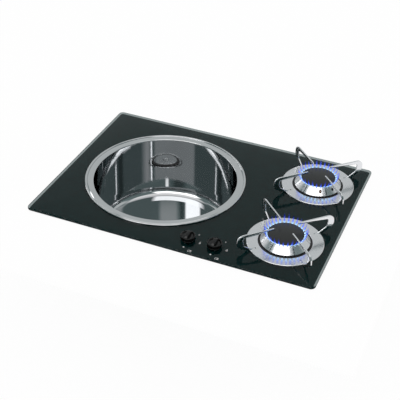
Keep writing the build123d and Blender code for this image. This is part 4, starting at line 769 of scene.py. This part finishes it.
# Along t from root to tip, r = root + out * sin(90 t), z = foot + rise * tall * t^1.4, and the petal's own
# radius is width * (t + 0.05)^0.4 * (1 - t)^0.7, flatter along the ring's radius; tall swings round the ring
t = np.linspace(0, 1, flame["rows"])[None, :, None]
around = np.linspace(0, 2 * pi, flame["sides"], endpoint=False)[None, None, :]
portAngle = radians(head["firstPort"]) + np.linspace(0, 2 * pi, head["ports"], endpoint=False)[:, None, None]
tall = 1 + flame["swing"][0] * np.sin(portAngle * 7 + 1.3) + flame["swing"][1] * np.sin(portAngle * 11)
thick = flame["width"] * (t + 0.05) ** 0.4 * (1 - t) ** 0.7
r = flame["root"] + flame["out"] * np.sin(t * pi / 2) + flame["flat"] * thick * np.cos(around)
aside = thick * np.sin(around)
z = crownTop + flame["foot"] + flame["rise"] * tall * t ** 1.4 + 0 * around
petalFaces = gridFaces(flame["rows"], flame["sides"], False, True)
petalStart = flame["rows"] * flame["sides"] * np.arange(head["ports"])[:, None, None]
for place, at in burnersAt.items():
    x = at[0] + r * np.cos(portAngle) - aside * np.sin(portAngle)
    y = at[1] + r * np.sin(portAngle) + aside * np.cos(portAngle)
    points = np.stack(np.broadcast_arrays(x, y, z), axis=-1)
    flames = makeMesh(place + "Flames", points, (petalFaces[None] + petalStart).reshape(-1, 4))
    flames.data.materials.append(flameFinish.material)
    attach(flames, place + "_burner_head")
print("flames made")

# Studio: an even soft dome lights plain surfaces, metal and glass see walls and light panels, and the camera
# sees white. Turn is degrees anticlockwise from turnZero, lift is degrees above level, and where panels
# overlap the brightest one shows.
studioLight = dict(turnZero=165.0, base=0.22, domeLow=0.72, domeHigh=0.34, panels=dict(
    backWall=dict(turn=(-148, -13), lift=(-95, 60), softTurn=6, softLift=6, level=0.65),
    leftFade=dict(turn=(-6, 24), lift=(-95, 60), softTurn=13, softLift=6, level=0.80),
    leftTube=dict(turn=(-7.0, -3.0), lift=(8, 62), softTurn=1.0, softLift=3, level=4.0),
    frontTube=dict(turn=(124.5, 129.5), lift=(31, 36), softTurn=1.2, softLift=1.5, level=2.6),
    frontBox=dict(turn=(58, 152), lift=(41.5, 62), softTurn=5, softLift=1.0, level=2.6),
    leftBox=dict(turn=(66, 94), lift=(37.3, 50), softTurn=2, softLift=0.6, level=2.8),
    frontGlow=dict(turn=(106, 142), lift=(37.8, 62), softTurn=6, softLift=0.8, level=0.6),
    topBox=dict(turn=(-190, 190), lift=(60, 95), softTurn=1, softLift=4, level=1.05)),
    flag=dict(turn=(97, 117), lift=(-95, 40), softTurn=4, softLift=1.5, share=0.6))
world = bpy.data.worlds.new("studio")
bpy.context.scene.world = world
world.use_nodes = True
studio = Wiring(world.node_tree, "ShaderNodeOutputWorld")
across, ahead, high = studio.parts(studio.add("ShaderNodeTexCoord", out="Generated"))
zero = radians(studioLight["turnZero"])
along, aside = across * cos(zero) + ahead * sin(zero), ahead * cos(zero) - across * sin(zero)
turnAbout = aside.turnFrom(along) * (180 / pi)
lift = high.arcsine() * (180 / pi)


def panelMask(panel):
    inTurn = turnAbout.within(*panel["turn"], panel["softTurn"])
    return inTurn * lift.within(*panel["lift"], panel["softLift"])


shade = panelMask(studioLight["flag"]) * studioLight["flag"]["share"]
level = (1 - shade) * studioLight["base"]
for panel in studioLight["panels"].values():
    level = level.most(panelMask(panel) * panel["level"])
domeLevel = high.most(0.0) * studioLight["domeHigh"] + studioLight["domeLow"]
coolShade = studio.ramp(level, (0.15, (0.72, 1.0, 1.0)), (0.5, (0.92, 1.0, 1.0)), (0.9, (1.0, 1.0, 1.0)))
paleWhite = (1.0, 1.0, 1.0)
panels, dome, white = [studio.add("ShaderNodeBackground", {}, {"Color": colour, "Strength": strength})
                       for colour, strength in ((coolShade, level), (paleWhite, domeLevel), (paleWhite, 1.0))]
scattered = studio.add("ShaderNodeLightPath", out="Diffuse Depth").least(1.0)  # also through glass
studio.show(studio.blend(studio.ray("Camera"), studio.blend(scattered, panels, dome), white))

# Camera at the photograph's viewing angle
eye = dict(at=(584.18, -1475.29, 1105.19), azimuth=21.97, elevation=35.41, roll=1.49, lens=84.13)
az, el, roll = (radians(eye[key]) for key in ("azimuth", "elevation", "roll"))
back = Vector((sin(az) * cos(el), -cos(az) * cos(el), sin(el)))
right = Vector((cos(az), sin(az), 0))
up = back.cross(right)
rightRolled = right * cos(roll) + up * sin(roll)
upRolled = up * cos(roll) - right * sin(roll)
turn = Matrix((rightRolled, upRolled, back)).transposed().to_4x4()
cameraData = bpy.data.cameras.new("camera")
cameraData.lens = eye["lens"]
cameraData.sensor_width = 36.0
camera = bpy.data.objects.new("camera", cameraData)
bpy.context.scene.collection.objects.link(camera)
camera.matrix_world = Matrix.Translation(Vector(eye["at"]) * mm) @ turn
bpy.context.scene.camera = camera
bpy.context.scene.view_settings.view_transform = "Standard"
print("stage, studio and camera set")
